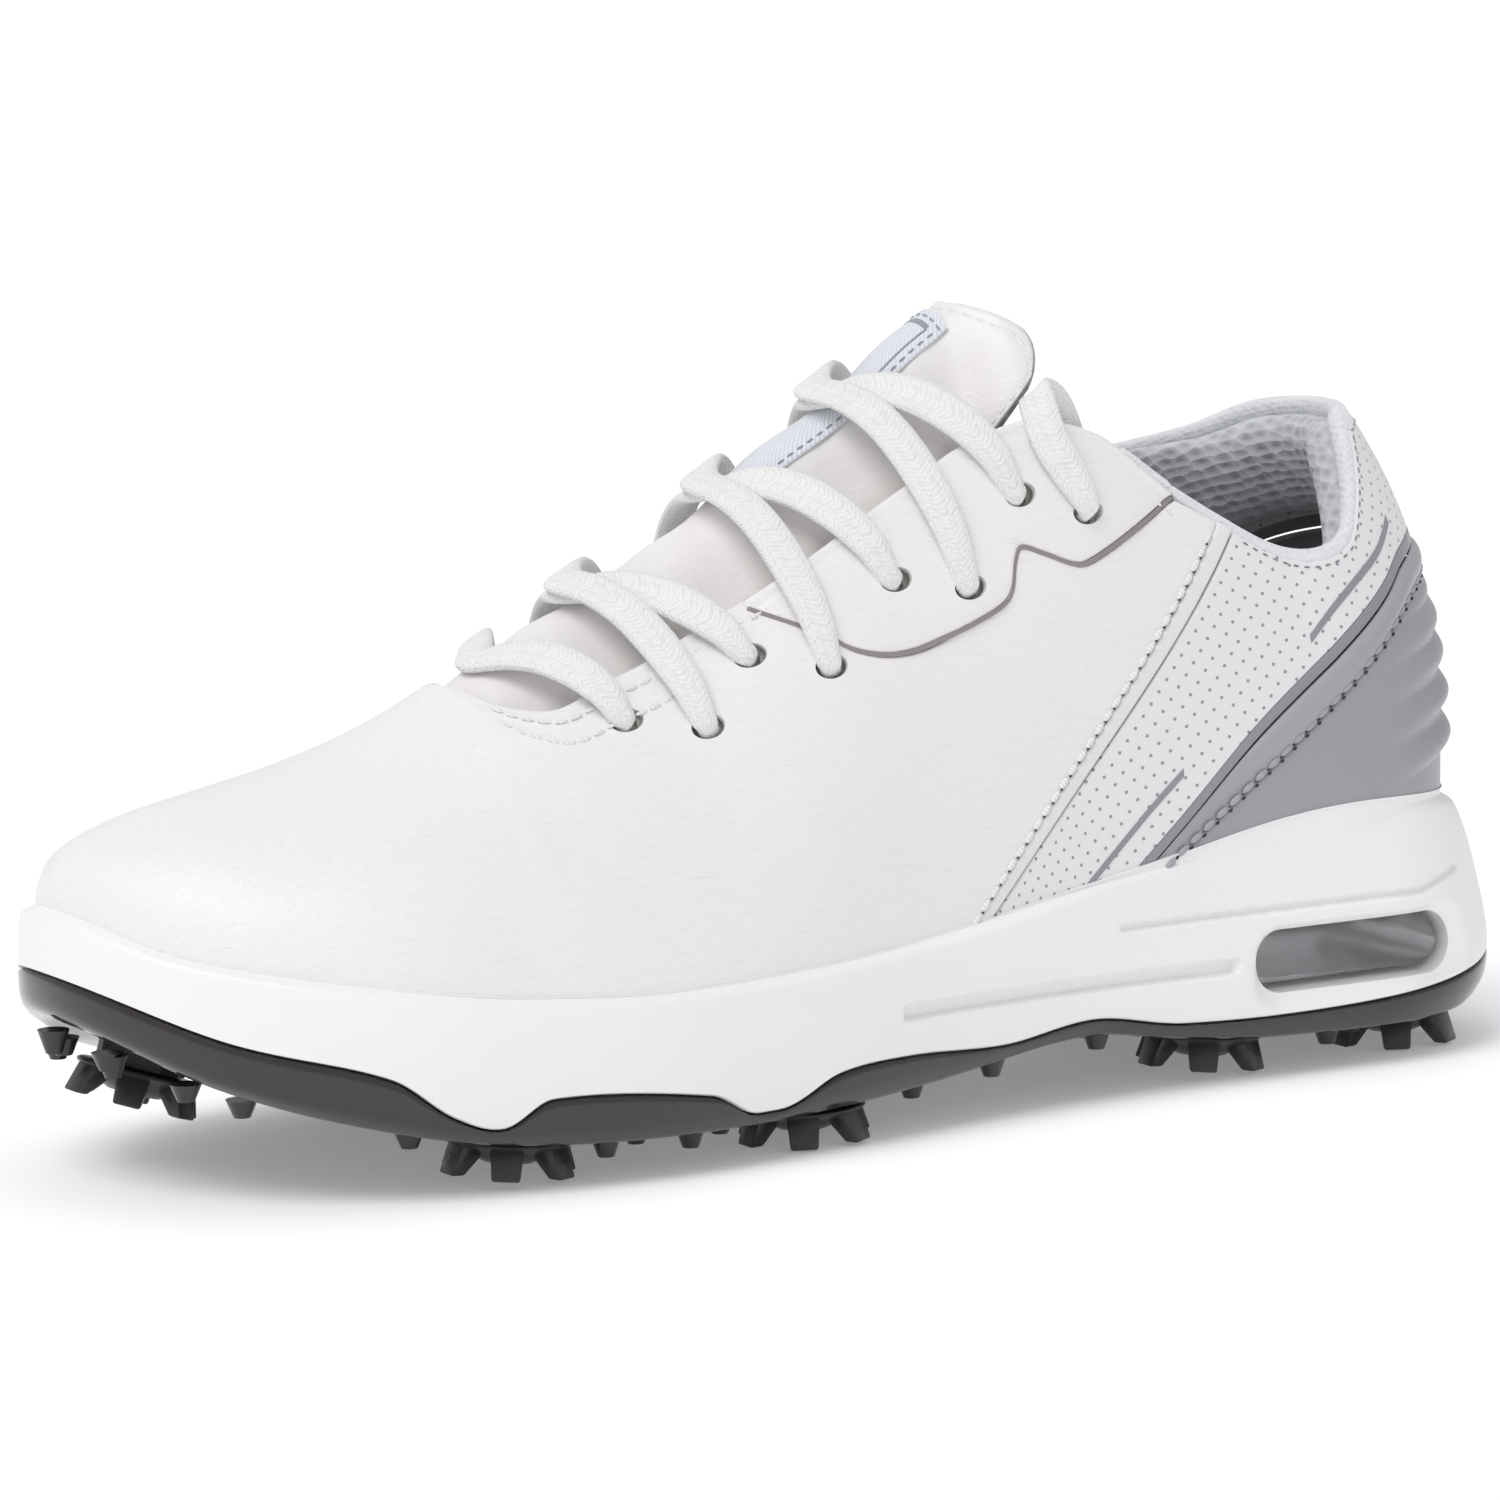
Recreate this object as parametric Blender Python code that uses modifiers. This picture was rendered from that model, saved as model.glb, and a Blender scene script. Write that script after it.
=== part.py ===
"""Golf shoe, left foot, as the separate pieces that it is stitched, cemented and screwed from.

The frame is metres with +Z up. The toe points to -X, the outer (lateral) side of the foot to -Y,
and the cleat tips stand on Z = 0, with the origin under the middle of the shoe.

Every piece follows one of two forms. The sole pieces follow the outline of the sole, walked once
round from the heel. The upper's pieces follow the last, the foot form that it is pulled over:
a place on it is a station x, a height theta from the feather edge to the ridge, and a side.
"""

import math

import bmesh
import bpy
from mathutils import Matrix, Vector

MM = 0.001
LATERAL, MEDIAL = -1, 1

# Driving dimensions, in millimetres. Stations run from the toe (-) to the heel (+).
TOE, HEEL = -149.0, 144.5
MIDDLE = (TOE + HEEL) / 2
TOE_ROUND, HEEL_ROUND = 62.0, 40.0
ROUND_POWER = 2.15
LAST_TOE, LAST_HEEL = -146.0, 136.0
CENTRE_LINE = [(-149, 8), (-120, 4), (-80, 0), (145, 0)]
SOLE_HALF = {
    LATERAL: [(-149, 45), (-120, 48.5), (-90, 51), (-57, 53.5), (-22, 50), (12, 43.5), (47, 40), (145, 41)],
    MEDIAL: [(-149, 42), (-120, 46.5), (-90, 51.5), (-62, 53.95), (-30, 47), (5, 38), (35, 36), (90, 39), (145, 41)],
}
LAST_HALF = {
    LATERAL: [(-149, 42), (-120, 45.5), (-90, 48), (-57, 50), (-22, 46.5), (12, 40), (47, 36.5), (145, 35.5)],
    MEDIAL: [(-149, 39), (-120, 43.5), (-90, 48), (-62, 49.5), (-30, 43.5), (5, 35.5), (35, 33.5), (145, 35.5)],
}
GROUND_SIDE = [(-149, 29), (-133, 20), (-110, 13), (-85, 8.5), (-55, 7), (-25, 7), (5, 8.5), (40, 12.2),
               (60, 9.5), (80, 7.5), (125, 7.2), (145, 9.5)]
LIP = [(-149, 49.5), (-140, 44.5), (-130, 41.7), (-106, 37.8), (-82, 34.8), (-55, 33), (-13, 34.1),
       (13, 36.4), (36, 40), (59, 43.9), (83, 48.3), (102, 49.8), (125, 48.5), (145, 46.5)]
CUP_FLOOR = [(-149, 42), (-140, 38), (-130, 34), (-100, 25), (-60, 20), (-20, 20.5), (20, 25), (60, 30), (145, 33)]
RUBBER_EDGE = [(-149, 38), (-131, 28.9), (-107, 22), (-97, 14.8), (-88, 12), (-79, 16.5), (-48, 13.7),
               (-39, 9.4), (-31, 9.4), (-20, 14), (-4, 14.8), (20, 13.5), (40, 15.5), (60, 12.4),
               (95, 12), (128, 15), (145, 18)]
RIDGE = [(-149, 50), (-147, 54), (-142, 59.5), (-130, 64.3), (-114, 68), (-98, 72), (-82, 78),
         (-66, 86.5), (-49, 96.5), (-33, 104), (-7, 120.5), (10, 131), (36, 148), (60, 156), (145, 156)]
SECTION_RISE = [(-149, 2.0), (-110, 1.9), (-75, 1.4), (-45, 1.2), (0, 1.6), (40, 1.9), (93, 1.6)]
SECTION_CROWN = [(-149, 1.9), (-110, 1.8), (-45, 1.7), (0, 1.8), (40, 1.9), (93, 1.5)]
HEEL_LEAN = [(47, 0), (65, 0.5), (80, -0.5), (95, -4), (107, -9), (118, -15.5), (135, -26)]
SIDE_INSET = [(0, 3.5), (0.12, 1.0), (0.3, 0.2), (0.55, 0.0), (0.8, 0.3), (0.93, 0.8), (1, 1.9)]
HEEL_INSET = [(0, 3.0), (0.12, 0.6), (0.3, 0), (0.55, 1.6), (0.8, 4.0), (0.93, 6.0), (1, 8.0)]

GAP = 0.4
CUP_GAP = 0.8
RUBBER_FLOOR = 1.9
RUBBER_WALL = 3.0
LEATHER = 1.4
BACKING_DEPTH, BACKING = 1.8, 1.0
LINING_DEPTH, LINING = 3.4, 0.8
BOARD_RISE, BOARD = 1.9, 1.8
SOCKLINER_RISE, SOCKLINER = 4.1, 4.5

# The seams, as (station, height) on the last.
SEAM_FOOT, SEAM_HEAD = (15, 36.4), (78, 102)
STRIP = 3.4
THROAT = [(-71, 83.5), (-65, 80.5), (-59, 80.5), (-50, 84.2), (-40, 87.8), (-22, 96.3)]
EYESTAY_TOP = [(-22, 96.3), (-12, 101.5), (-4, 105.7), (5, 110.7), (13, 115), (22, 120.1), (28, 122.5),
               (33, 124.2), (38, 125), (46, 124), (55, 121), (62, 115.5), (69, 109.5)]
EYESTAY_LOW = [(-22, 95.4), (-14, 91.8), (-5, 87.2), (1, 85.9), (7, 86.2), (13, 87.8), (19, 89.2),
               (27, 92.6), (31.5, 102.8), (42, 98.9), (57, 103.9), (63, 107), (68, 109.2)]
COLLAR = {
    LATERAL: [(69, 109.5), (79, 103), (90, 96.7), (99, 95), (108, 97.5), (114, 104), (121, 112.2),
              (127, 118), (137, 119.5)],
    MEDIAL: [(69, 109.5), (79, 109.8), (90, 111), (99, 112), (108, 113.2), (114, 114.4), (121, 116.5),
             (127, 118.2), (137, 119.5)],
}
PIPING_LOW = [(47, 33), (61, 43.8), (73, 52.2), (85, 60.4), (98, 69.6), (108, 76.6), (122, 86), (137, 91)]
PIPING_HIGH = [(47, 36), (61, 47.8), (79, 63.4), (99, 76.9), (114, 86.3), (122, 91.5), (137, 96)]
BAND = 2.8
BAND_FRONT = 47.5
BACK_SEAM = 0.002
TUCK = -1.0

# Cleats: (name, station, y). Their threads and sockets are turned round the same axis.
CLEATS = [
    ("toe_medial", -125, 18), ("ball_lateral", -78, -33), ("ball_medial", -68, 34), ("waist_lateral", -19, -34),
    ("heel_front_lateral", 75, -21), ("heel_front_medial", 77, 21), ("heel_rear_lateral", 120, -18),
    ("heel_rear_medial", 120, 18),
]
CLEAT_DROP = 6.78
SOCKET_RADIUS, SOCKET_HEIGHT, THREAD_RADIUS = 8.2, 5.6, 4.0

# The window through the midsole, and the air cushion that shows in it.
WINDOW_X, WINDOW_Z = (76.0, 121.0), (16.0, 27.8)

# The lace runs through these holes; (station, height) on the last, inner row then outer row, in turn.
EYELETS = [(-49, 77.8), (-35, 75.8), (-24, 87.0), (-10, 84.4), (6, 98.2), (20, 96.0), (33, 111.5), (47, 107.5)]
EYELET_RADIUS = 2.4
STRIP_DEPTH, EYELET_BACKING = 2.1, 0.6
EYELET_STRIP = [(-56, 77.5), (-44, 72.5), (-32, 71.5), (-18, 75.5), (-4, 81), (10, 87), (24, 91.5), (38, 99),
                (50, 103)]
THROAT_EDGE = [(-59, 80.5), (-50, 83.6), (-40, 87.2), (-22, 95.6), (-4, 105), (13, 114), (22, 119), (33, 123),
               (46, 122.8), (55, 119.5)]
VAMP_LINING_EDGE = [(-70, 78), (-60, 75), (-48, 70), (-34, 69), (-18, 73), (-2, 78), (10, 82), (20, 84)]
COLLAR_DEEP = 18.4
LACE_RADIUS = 1.45
LACE_ABOVE, LACE_BELOW = -2.7, 4.4
LACE_CROSSING = (-3.6, 0.0)
LACE_RIDGE = {1: -66, 3: -47, 5: -18, 7: 6}
LACE_TAIL = [((43, 115), -2.8), ((40, 121), -2.9), ((41, 128.5), -0.8), ((48, 127.5), 3.5), ((54, 118), 8.0),
             ((58, 108), 12.8), ((63, 97), 13.2), ((70, 87), 12.5), ((78, 78), 11.5), ((88, 71), 11.5)]
AGLET_RADIUS, AGLET_LENGTH = 1.7, 22.0


def smooth(points, x):
    """Value at x of a smooth curve through (x, value) points, held flat beyond both ends."""
    if x <= points[0][0]:
        return points[0][1]
    if x >= points[-1][0]:
        return points[-1][1]
    i = next(k for k in range(len(points) - 1) if x <= points[k + 1][0])

    def slope(k):
        before, after = points[max(k - 1, 0)], points[min(k + 1, len(points) - 1)]
        return (after[1] - before[1]) / (after[0] - before[0])

    (x0, y0), (x1, y1) = points[i], points[i + 1]
    h = x1 - x0
    t = (x - x0) / h
    return ((2 * t**3 - 3 * t**2 + 1) * y0 + (t**3 - 2 * t**2 + t) * h * slope(i)
            + (3 * t**2 - 2 * t**3) * y1 + (t**3 - t**2) * h * slope(i + 1))


def ramp(x, low, high):
    """0 below low, 1 above high, and an eased rise between them."""
    t = min(1.0, max(0.0, (x - low) / (high - low)))
    return t * t * (3 - 2 * t)


def end_round(x, toe, heel):
    """How much of the half-width is left at station x: all of it, falling to nothing at both ends."""
    past = max((toe + TOE_ROUND - x) / TOE_ROUND, (x - heel + HEEL_ROUND) / HEEL_ROUND, 0.0)
    return max(0.0, 1 - min(past, 1.0) ** ROUND_POWER) ** (1 / ROUND_POWER)


def at(x, y, z):
    """A point given by station, offset and height in millimetres, in the part's frame in metres."""
    return Vector((x - MIDDLE, y, z)) * MM


# --- the sole's outline ---------------------------------------------------------------------------


def outline(turn, toe=TOE, heel=HEEL, half=SOLE_HALF, grow=0.0):
    """The outline's point at a turn: 0 is the heel, half a turn the toe, lateral side first."""
    side = LATERAL if turn <= 0.5 else MEDIAL
    x = (toe + heel) / 2 + (heel - toe) / 2 * math.cos(2 * math.pi * turn)
    y = smooth(CENTRE_LINE, x) + side * smooth(half[side], x) * end_round(x, toe, heel)
    if grow:
        inward = inward_normal(turn, toe, heel, half)
        return x - inward[0] * grow, y - inward[1] * grow
    return x, y


def inward_normal(turn, toe=TOE, heel=HEEL, half=SOLE_HALF):
    """Unit normal of the outline at a turn, pointing into the shoe."""
    step = 0.0015
    x0, y0 = outline((turn - step) % 1.0, toe, heel, half)
    x1, y1 = outline((turn + step) % 1.0, toe, heel, half)
    length = math.hypot(x1 - x0, y1 - y0)
    return (y1 - y0) / length, -(x1 - x0) / length


def last_outline(turn, grow=0.0):
    return outline(turn, LAST_TOE, LAST_HEEL, LAST_HALF, grow)


def sole_wall(turn, height):
    """The sole's outer wall at a height, with the flare that it has there; height is a true z."""
    x, y = outline(turn)
    low, high = smooth(GROUND_SIDE, x), smooth(LIP, x)
    part = (height(x) - low) / (high - low)
    flare = ramp(x, 20, 110)
    inset = (1 - flare) * smooth(SIDE_INSET, part) + flare * smooth(HEEL_INSET, part)
    nx, ny = inward_normal(turn)
    return x + nx * inset, y + ny * inset, height(x)


def rubber_edge(x):
    return max(smooth(RUBBER_EDGE, x), smooth(GROUND_SIDE, x) + RUBBER_FLOOR + GAP)


def spine(turn, height):
    """The middle line of the sole, which a horizontal face closes on."""
    x = min(max(outline(turn)[0], TOE + 42), HEEL - 34)
    return x, smooth(CENTRE_LINE, x), height(x)


def round_solid(rows, stations):
    """A closed body from rows that run round the outline; the first and the last lie on the spine."""
    bm = bmesh.new()
    turns = [(i + 0.5) / stations for i in range(stations)]
    rings = [[bm.verts.new(at(*row(turn))) for turn in turns] for row in rows]
    for lower, upper in zip(rings, rings[1:]):
        for i in range(stations):
            j = (i + 1) % stations
            bm.faces.new((lower[i], lower[j], upper[j], upper[i]))
    bmesh.ops.remove_doubles(bm, verts=bm.verts, dist=0.02 * MM)
    for loop in (rings[0], rings[-1]):
        close_spine(bm, [v for v in loop if v.is_valid])
    bmesh.ops.dissolve_degenerate(bm, edges=bm.edges, dist=0.001 * MM)
    bmesh.ops.recalc_face_normals(bm, faces=bm.faces)
    return bm


def close_spine(bm, verts):
    """Fills what is left open along the spine after its two sides have been welded."""
    edges = {e for v in verts for e in v.link_edges if e.is_boundary}
    if edges:
        bmesh.ops.holes_fill(bm, edges=list(edges), sides=0)


# --- the last ---------------------------------------------------------------------------------------


def theta_of(x, z):
    """Where a height lies on the last's section at station x: -1 in the cup, 0 at the lip, 1 on the ridge."""
    low, high = smooth(LIP, x), smooth(RIDGE, x)
    if z < low:
        return (z - low) / (low - smooth(CUP_FLOOR, x) - GAP)
    part = min(1.0, max(0.0, (z - low) / (high - low)))
    return math.asin(math.sqrt(part ** smooth(SECTION_RISE, x))) * 2 / math.pi


def last_point(x, theta, side):
    """A point on the outer face of the upper. Below theta 0 it runs straight down into the cup."""
    low, high = smooth(LIP, x), smooth(RIDGE, x)
    half = smooth(LAST_HALF[side], x) * end_round(x, LAST_TOE, LAST_HEEL)
    if theta < 0:
        z = low + theta * (low - smooth(CUP_FLOOR, x) - GAP)
        return Vector((x, smooth(CENTRE_LINE, x) + side * half, z))
    angle = theta * math.pi / 2
    z = low + (high - low) * math.sin(angle) ** (2 / smooth(SECTION_RISE, x))
    y = smooth(CENTRE_LINE, x) + side * half * max(math.cos(angle), 0) ** (2 / smooth(SECTION_CROWN, x))
    return Vector((x + smooth(HEEL_LEAN, z) * min(1, max(0, (x - 40) / 100)), y, z))


def last_normal(x, theta, side):
    """Unit normal of the last at a place, pointing out of the shoe."""
    at_end = x < LAST_TOE + 0.05 or x > LAST_HEEL - 0.05
    x = min(max(x, LAST_TOE + 0.25), LAST_HEEL - 0.25)
    along = last_point(x + 0.2, theta, side) - last_point(x - 0.2, theta, side)
    step = 0.02
    over = last_point(x, theta + step, side) if theta + step <= 1 else last_point(x, 2 - theta - step, -side)
    up = over - last_point(x, theta - step, side)
    normal = along.cross(up) * -side
    if at_end:
        normal.y = 0
    return normal.normalized()


def on_last(x, theta, side, depth=0.0):
    """The same place at a depth under the outer face, in millimetres."""
    return last_point(x, theta, side) - last_normal(x, theta, side) * depth


def spot(place, side, depth=0.0):
    """A (station, height) place as a point at a depth."""
    return on_last(place[0], theta_of(*place), side, depth)


# --- making objects -----------------------------------------------------------------------------------

for old in list(bpy.data.objects):
    bpy.data.objects.remove(old)
SHOE = bpy.data.collections.new("golf_shoe")
CUTTERS = bpy.data.collections.new("cutters")
for group in (SHOE, CUTTERS):
    bpy.context.scene.collection.children.link(group)


def material(name, colour, roughness, metallic=0.0, alpha=1.0):
    made = bpy.data.materials.new(name)
    made.use_nodes = True
    shader = made.node_tree.nodes["Principled BSDF"]
    shader.inputs["Base Color"].default_value = (*colour, 1)
    shader.inputs["Roughness"].default_value = roughness
    shader.inputs["Metallic"].default_value = metallic
    shader.inputs["Alpha"].default_value = alpha
    made.diffuse_color = (*colour, 1)
    return made


WHITE_LEATHER = (0.90, 0.89, 0.89)
GREY = (0.30, 0.29, 0.32)
BLACK = (0.03, 0.028, 0.028)
KNIT = (0.62, 0.65, 0.69)
TAN = (0.55, 0.45, 0.33)
FOAM = (0.80, 0.78, 0.60)


def add(name, bm, colour, roughness=0.5, alpha=1.0):
    """Makes a node from a bmesh."""
    mesh = bpy.data.meshes.new(name)
    bm.to_mesh(mesh)
    bm.free()
    return add_mesh(name, mesh, colour, roughness, alpha)


def add_mesh(name, mesh, colour, roughness=0.5, alpha=1.0):
    obj = bpy.data.objects.new(name, mesh)
    obj.data.materials.append(material(name, colour, roughness, alpha=alpha))
    SHOE.objects.link(obj)
    mesh.shade_smooth()
    mesh.set_sharp_from_angle(angle=math.radians(40))
    return obj


def cutter(name, bm):
    mesh = bpy.data.meshes.new(name)
    bm.to_mesh(mesh)
    bm.free()
    obj = bpy.data.objects.new(name, mesh)
    obj.hide_render = True
    obj.display_type = "WIRE"
    CUTTERS.objects.link(obj)
    return obj


def cut(obj, tool):
    modifier = obj.modifiers.new("cut_" + tool.name, "BOOLEAN")
    modifier.operation = "DIFFERENCE"
    modifier.object = tool
    return modifier


def solidify(obj, thickness):
    """Gives an open skin its thickness, on the inner side of its faces."""
    modifier = obj.modifiers.new("thickness", "SOLIDIFY")
    modifier.thickness = thickness * MM
    modifier.offset = -1
    return modifier


def skin(columns):
    """A bmesh sheet through columns of points, welded where two columns meet."""
    bm = bmesh.new()
    grid = [[bm.verts.new(at(*point)) for point in column] for column in columns]
    for left, right in zip(grid, grid[1:]):
        for j in range(len(left) - 1):
            bm.faces.new((left[j], right[j], right[j + 1], left[j + 1]))
    bmesh.ops.remove_doubles(bm, verts=bm.verts, dist=0.02 * MM)
    bmesh.ops.dissolve_degenerate(bm, edges=bm.edges, dist=0.001 * MM)
    return bm


def column(side, low, high, rows, depth=0.0):
    """Points on the last from low to high, each (station, theta); a TUCK start runs from inside the cup."""
    (x0, t0), (x1, t1) = low, high
    points = []
    if t0 == TUCK and t1 > 0:
        points.append(on_last(x0, TUCK, side, depth))
        t0 = 0.0
    elif t0 == TUCK:
        rows += 1
    for r in range(rows + 1):
        f = r / rows
        points.append(on_last(x0 + (x1 - x0) * f, t0 + (t1 - t0) * f, side, depth))
    return points


def place(x, z):
    return x, theta_of(x, z)


def straight_column(side, foot_x, high, rows, depth=0.0):
    """Points from inside the cup to a (station, height) place, on a line that looks straight from the side."""
    (x1, z1), low_z = high, smooth(LIP, foot_x)
    points = [on_last(foot_x, TUCK, side, depth)]
    for r in range(rows + 1):
        f = r / rows
        points.append(on_last(*place(foot_x + (x1 - foot_x) * f, low_z + (z1 - low_z) * f), side, depth))
    return points


def polyline(points, count):
    """count + 1 points spread evenly over the legs of a list of points."""
    legs = len(points) - 1
    found = []
    for k in range(count + 1):
        s = k / count * legs
        i = min(int(s), legs - 1)
        f = s - i
        found.append(tuple(a + (b - a) * f for a, b in zip(points[i], points[i + 1])))
    return found


def panel(name, columns, thickness, colour, roughness=0.55):
    """A node of sheet material: a skin on the last with its thickness inwards."""
    obj = add(name, skin(columns), colour, roughness)
    solidify(obj, thickness)
    return obj


def side_name(side):
    return "lateral" if side == LATERAL else "medial"


def outward(columns, side):
    """Orders the columns of a one-sided panel so that its faces point out."""
    return columns if side == LATERAL else columns[::-1]


# --- the sole unit --------------------------------------------------------------------------------------

STATIONS = 50


def make_outsole():
    ground = lambda x: smooth(GROUND_SIDE, x)
    floor = lambda x: ground(x) + RUBBER_FLOOR
    wall_inner = lambda turn, height: (*outline(turn, grow=-RUBBER_WALL - 3.4), height(outline(turn)[0]))
    rows = [
        lambda t: spine(t, ground),
        lambda t: (*outline(t, grow=-9), ground(outline(t)[0])),
        lambda t: sole_wall(t, ground),
        lambda t: sole_wall(t, lambda x: ground(x) * 0.6 + rubber_edge(x) * 0.4),
        lambda t: sole_wall(t, rubber_edge),
        lambda t: wall_inner(t, rubber_edge),
        lambda t: wall_inner(t, floor),
        lambda t: spine(t, floor),
    ]
    return add("outsole", round_solid(rows, STATIONS), BLACK, 0.35)


def make_midsole():
    floor = lambda x: smooth(GROUND_SIDE, x) + RUBBER_FLOOR + GAP
    edge = lambda x: rubber_edge(x) + GAP
    lip = lambda x: smooth(LIP, x)
    cup = lambda x: smooth(CUP_FLOOR, x)
    between = lambda f: lambda x: edge(x) + (lip(x) - edge(x)) * f
    inner = lambda turn, height: (*outline(turn, grow=-RUBBER_WALL - 3.4 - GAP), height(outline(turn)[0]))
    cup_wall = lambda turn, height: (*last_outline(turn, CUP_GAP), height(last_outline(turn)[0]))
    rows = [
        lambda t: spine(t, floor),
        lambda t: inner(t, floor),
        lambda t: inner(t, edge),
        lambda t: sole_wall(t, edge),
        lambda t: sole_wall(t, between(0.4)),
        lambda t: sole_wall(t, between(0.8)),
        lambda t: sole_wall(t, lip),
        lambda t: cup_wall(t, lip),
        lambda t: cup_wall(t, cup),
        lambda t: spine(t, cup),
    ]
    return add("midsole", round_solid(rows, STATIONS), WHITE_LEATHER, 0.45)


def flat_insert(name, grow, rise, thickness, colour, roughness):
    """A sheet that lies in the cup, as far above its floor as rise."""
    low = lambda x: smooth(CUP_FLOOR, x) + rise
    high = lambda x: smooth(CUP_FLOOR, x) + rise + thickness
    edge = lambda turn, height: (*last_outline(turn, grow), height(last_outline(turn)[0]))
    rows = [
        lambda t: spine(t, low),
        lambda t: edge(t, low),
        lambda t: edge(t, high),
        lambda t: spine(t, high),
    ]
    return add(name, round_solid(rows, 40), colour, roughness)


def make_shank():
    """The stiff plate under the waist of the insole board."""
    bm = bmesh.new()
    steps, half_width, start, end = 10, 9.0, -22.0, 68.0
    rings = []
    for i in range(steps + 1):
        x = start + (end - start) * i / steps
        low = smooth(CUP_FLOOR, x) + GAP
        corners = [(-half_width, low), (half_width, low), (half_width, low + 1.1), (-half_width, low + 1.1)]
        rings.append([bm.verts.new(at(x, y, z)) for y, z in corners])
    for first, second in zip(rings, rings[1:]):
        for k in range(4):
            bm.faces.new((first[k], first[(k + 1) % 4], second[(k + 1) % 4], second[k]))
    bm.faces.new(rings[0])
    bm.faces.new(rings[-1])
    bmesh.ops.recalc_face_normals(bm, faces=bm.faces)
    return add("shank", bm, (0.12, 0.12, 0.13), 0.4)


def stadium(x_range, z_range, y_low, y_high, segments=6):
    """A long rounded slot extruded along Y."""
    (x0, x1), (z0, z1) = x_range, z_range
    radius = (z1 - z0) / 2
    ends = [(x1 - radius, -90), (x0 + radius, 90)]
    profile = []
    for centre, first in ends:
        for k in range(segments + 1):
            angle = math.radians(first + 180 * k / segments)
            profile.append((centre + radius * math.cos(angle), (z0 + z1) / 2 + radius * math.sin(angle)))
    bm = bmesh.new()
    near = [bm.verts.new(at(x, y_low, z)) for x, z in profile]
    far = [bm.verts.new(at(x, y_high, z)) for x, z in profile]
    for i in range(len(profile)):
        j = (i + 1) % len(profile)
        bm.faces.new((near[i], near[j], far[j], far[i]))
    bm.faces.new(near)
    bm.faces.new(far)
    bmesh.ops.recalc_face_normals(bm, faces=bm.faces)
    return bm


def make_air_cushion():
    (x0, x1), (z0, z1) = WINDOW_X, WINDOW_Z
    wall = GAP + 0.4
    return add("air_cushion", stadium((x0 + wall, x1 - wall), (z0 + wall, z1 - wall), -33.5, 33.5), GREY, 0.1, 0.4)


# --- cleats and their sockets ---------------------------------------------------------------------------


def cleat_matrix(x, y):
    """The cleat's own frame: origin on the sole's ground side, Z up along the thread."""
    slope = (smooth(GROUND_SIDE, x + 6) - smooth(GROUND_SIDE, x - 6)) / 12
    tilt = Matrix.Rotation(-math.atan(slope), 4, "Y")
    return Matrix.Translation(at(x, y, smooth(GROUND_SIDE, x))) @ tilt


def turned(name, profile, steps=12):
    """A turned body: the profile runs down its outer side, as (radius, height)."""
    mesh = bpy.data.meshes.new(name)
    points = [(r * MM, 0, z * MM) for r, z in profile]
    mesh.from_pydata(points, [(i, i + 1) for i in range(len(points) - 1)], [])
    obj = bpy.data.objects.new(name, mesh)
    CUTTERS.objects.link(obj)
    screw = obj.modifiers.new("turn", "SCREW")
    screw.steps = screw.render_steps = steps
    screw.use_merge_vertices = True
    screw.merge_threshold = 0.00001
    return bake(obj)


def bake(obj):
    """The object's mesh as its modifiers leave it; the object itself is removed."""
    graph = bpy.context.evaluated_depsgraph_get()
    mesh = bpy.data.meshes.new_from_object(obj.evaluated_get(graph))
    bpy.data.objects.remove(obj)
    return mesh


def cleat_leg(angle):
    """One splayed leg: a tapered bar from the flange out and down to its tip."""
    bm = bmesh.new()
    bmesh.ops.create_cube(bm, size=1.0)
    for v in bm.verts:
        low = v.co.z < 0
        width = 4.6 if low else 5.4
        radial = (10.8 if low else 7.2) + v.co.x * (2.2 if low else 4.6)
        v.co = Vector((radial, v.co.y * width, -CLEAT_DROP if low else -1.0)) * MM
    bmesh.ops.rotate(bm, verts=bm.verts, matrix=Matrix.Rotation(angle, 3, "Z"))
    bmesh.ops.recalc_face_normals(bm, faces=bm.faces)
    mesh = bpy.data.meshes.new("leg")
    bm.to_mesh(mesh)
    bm.free()
    leg = bpy.data.objects.new("leg", mesh)
    leg.hide_render = True
    leg.display_type = "WIRE"
    CUTTERS.objects.link(leg)
    return leg


def cleat_mesh():
    """Flange, hub and thread turned in one, with six legs joined on."""
    thread = THREAD_RADIUS - GAP - 0.2
    body = turned("cleat", [(0, 3.8), (thread, 3.8), (thread, -GAP), (11.2, -GAP), (11.2, -1.2), (8.4, -2.4),
                            (4.6, -4.6), (0, -4.6)])
    obj = bpy.data.objects.new("cleat_body", body)
    CUTTERS.objects.link(obj)
    legs = [cleat_leg(math.radians(60 * k)) for k in range(6)]
    for leg in legs:
        modifier = obj.modifiers.new("leg", "BOOLEAN")
        modifier.operation = "UNION"
        modifier.object = leg
    mesh = bake(obj)
    for leg in legs:
        bpy.data.objects.remove(leg)
    return mesh


def socket_mesh():
    """The threaded nylon socket: a cup, open below."""
    outer, bore = SOCKET_RADIUS, THREAD_RADIUS
    return turned("socket", [(0, SOCKET_HEIGHT), (outer, SOCKET_HEIGHT), (outer, 0), (bore, 0),
                             (bore, SOCKET_HEIGHT - 1.4), (0, SOCKET_HEIGHT - 1.4)])


def socket_cutters(depth, name):
    """A cutter for each cleat's pocket, standing on the cleat's axis."""
    tools = []
    for label, x, y in CLEATS:
        bm = bmesh.new()
        bmesh.ops.create_cone(bm, cap_ends=True, segments=12, radius1=(SOCKET_RADIUS + GAP) * MM,
                              radius2=(SOCKET_RADIUS + GAP) * MM, depth=depth * MM)
        bmesh.ops.translate(bm, verts=bm.verts, vec=(0, 0, (depth / 2 - 4) * MM))
        tool = cutter(f"{name}_{label}", bm)
        tool.matrix_world = cleat_matrix(x, y)
        tools.append(tool)
    return tools


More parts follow.
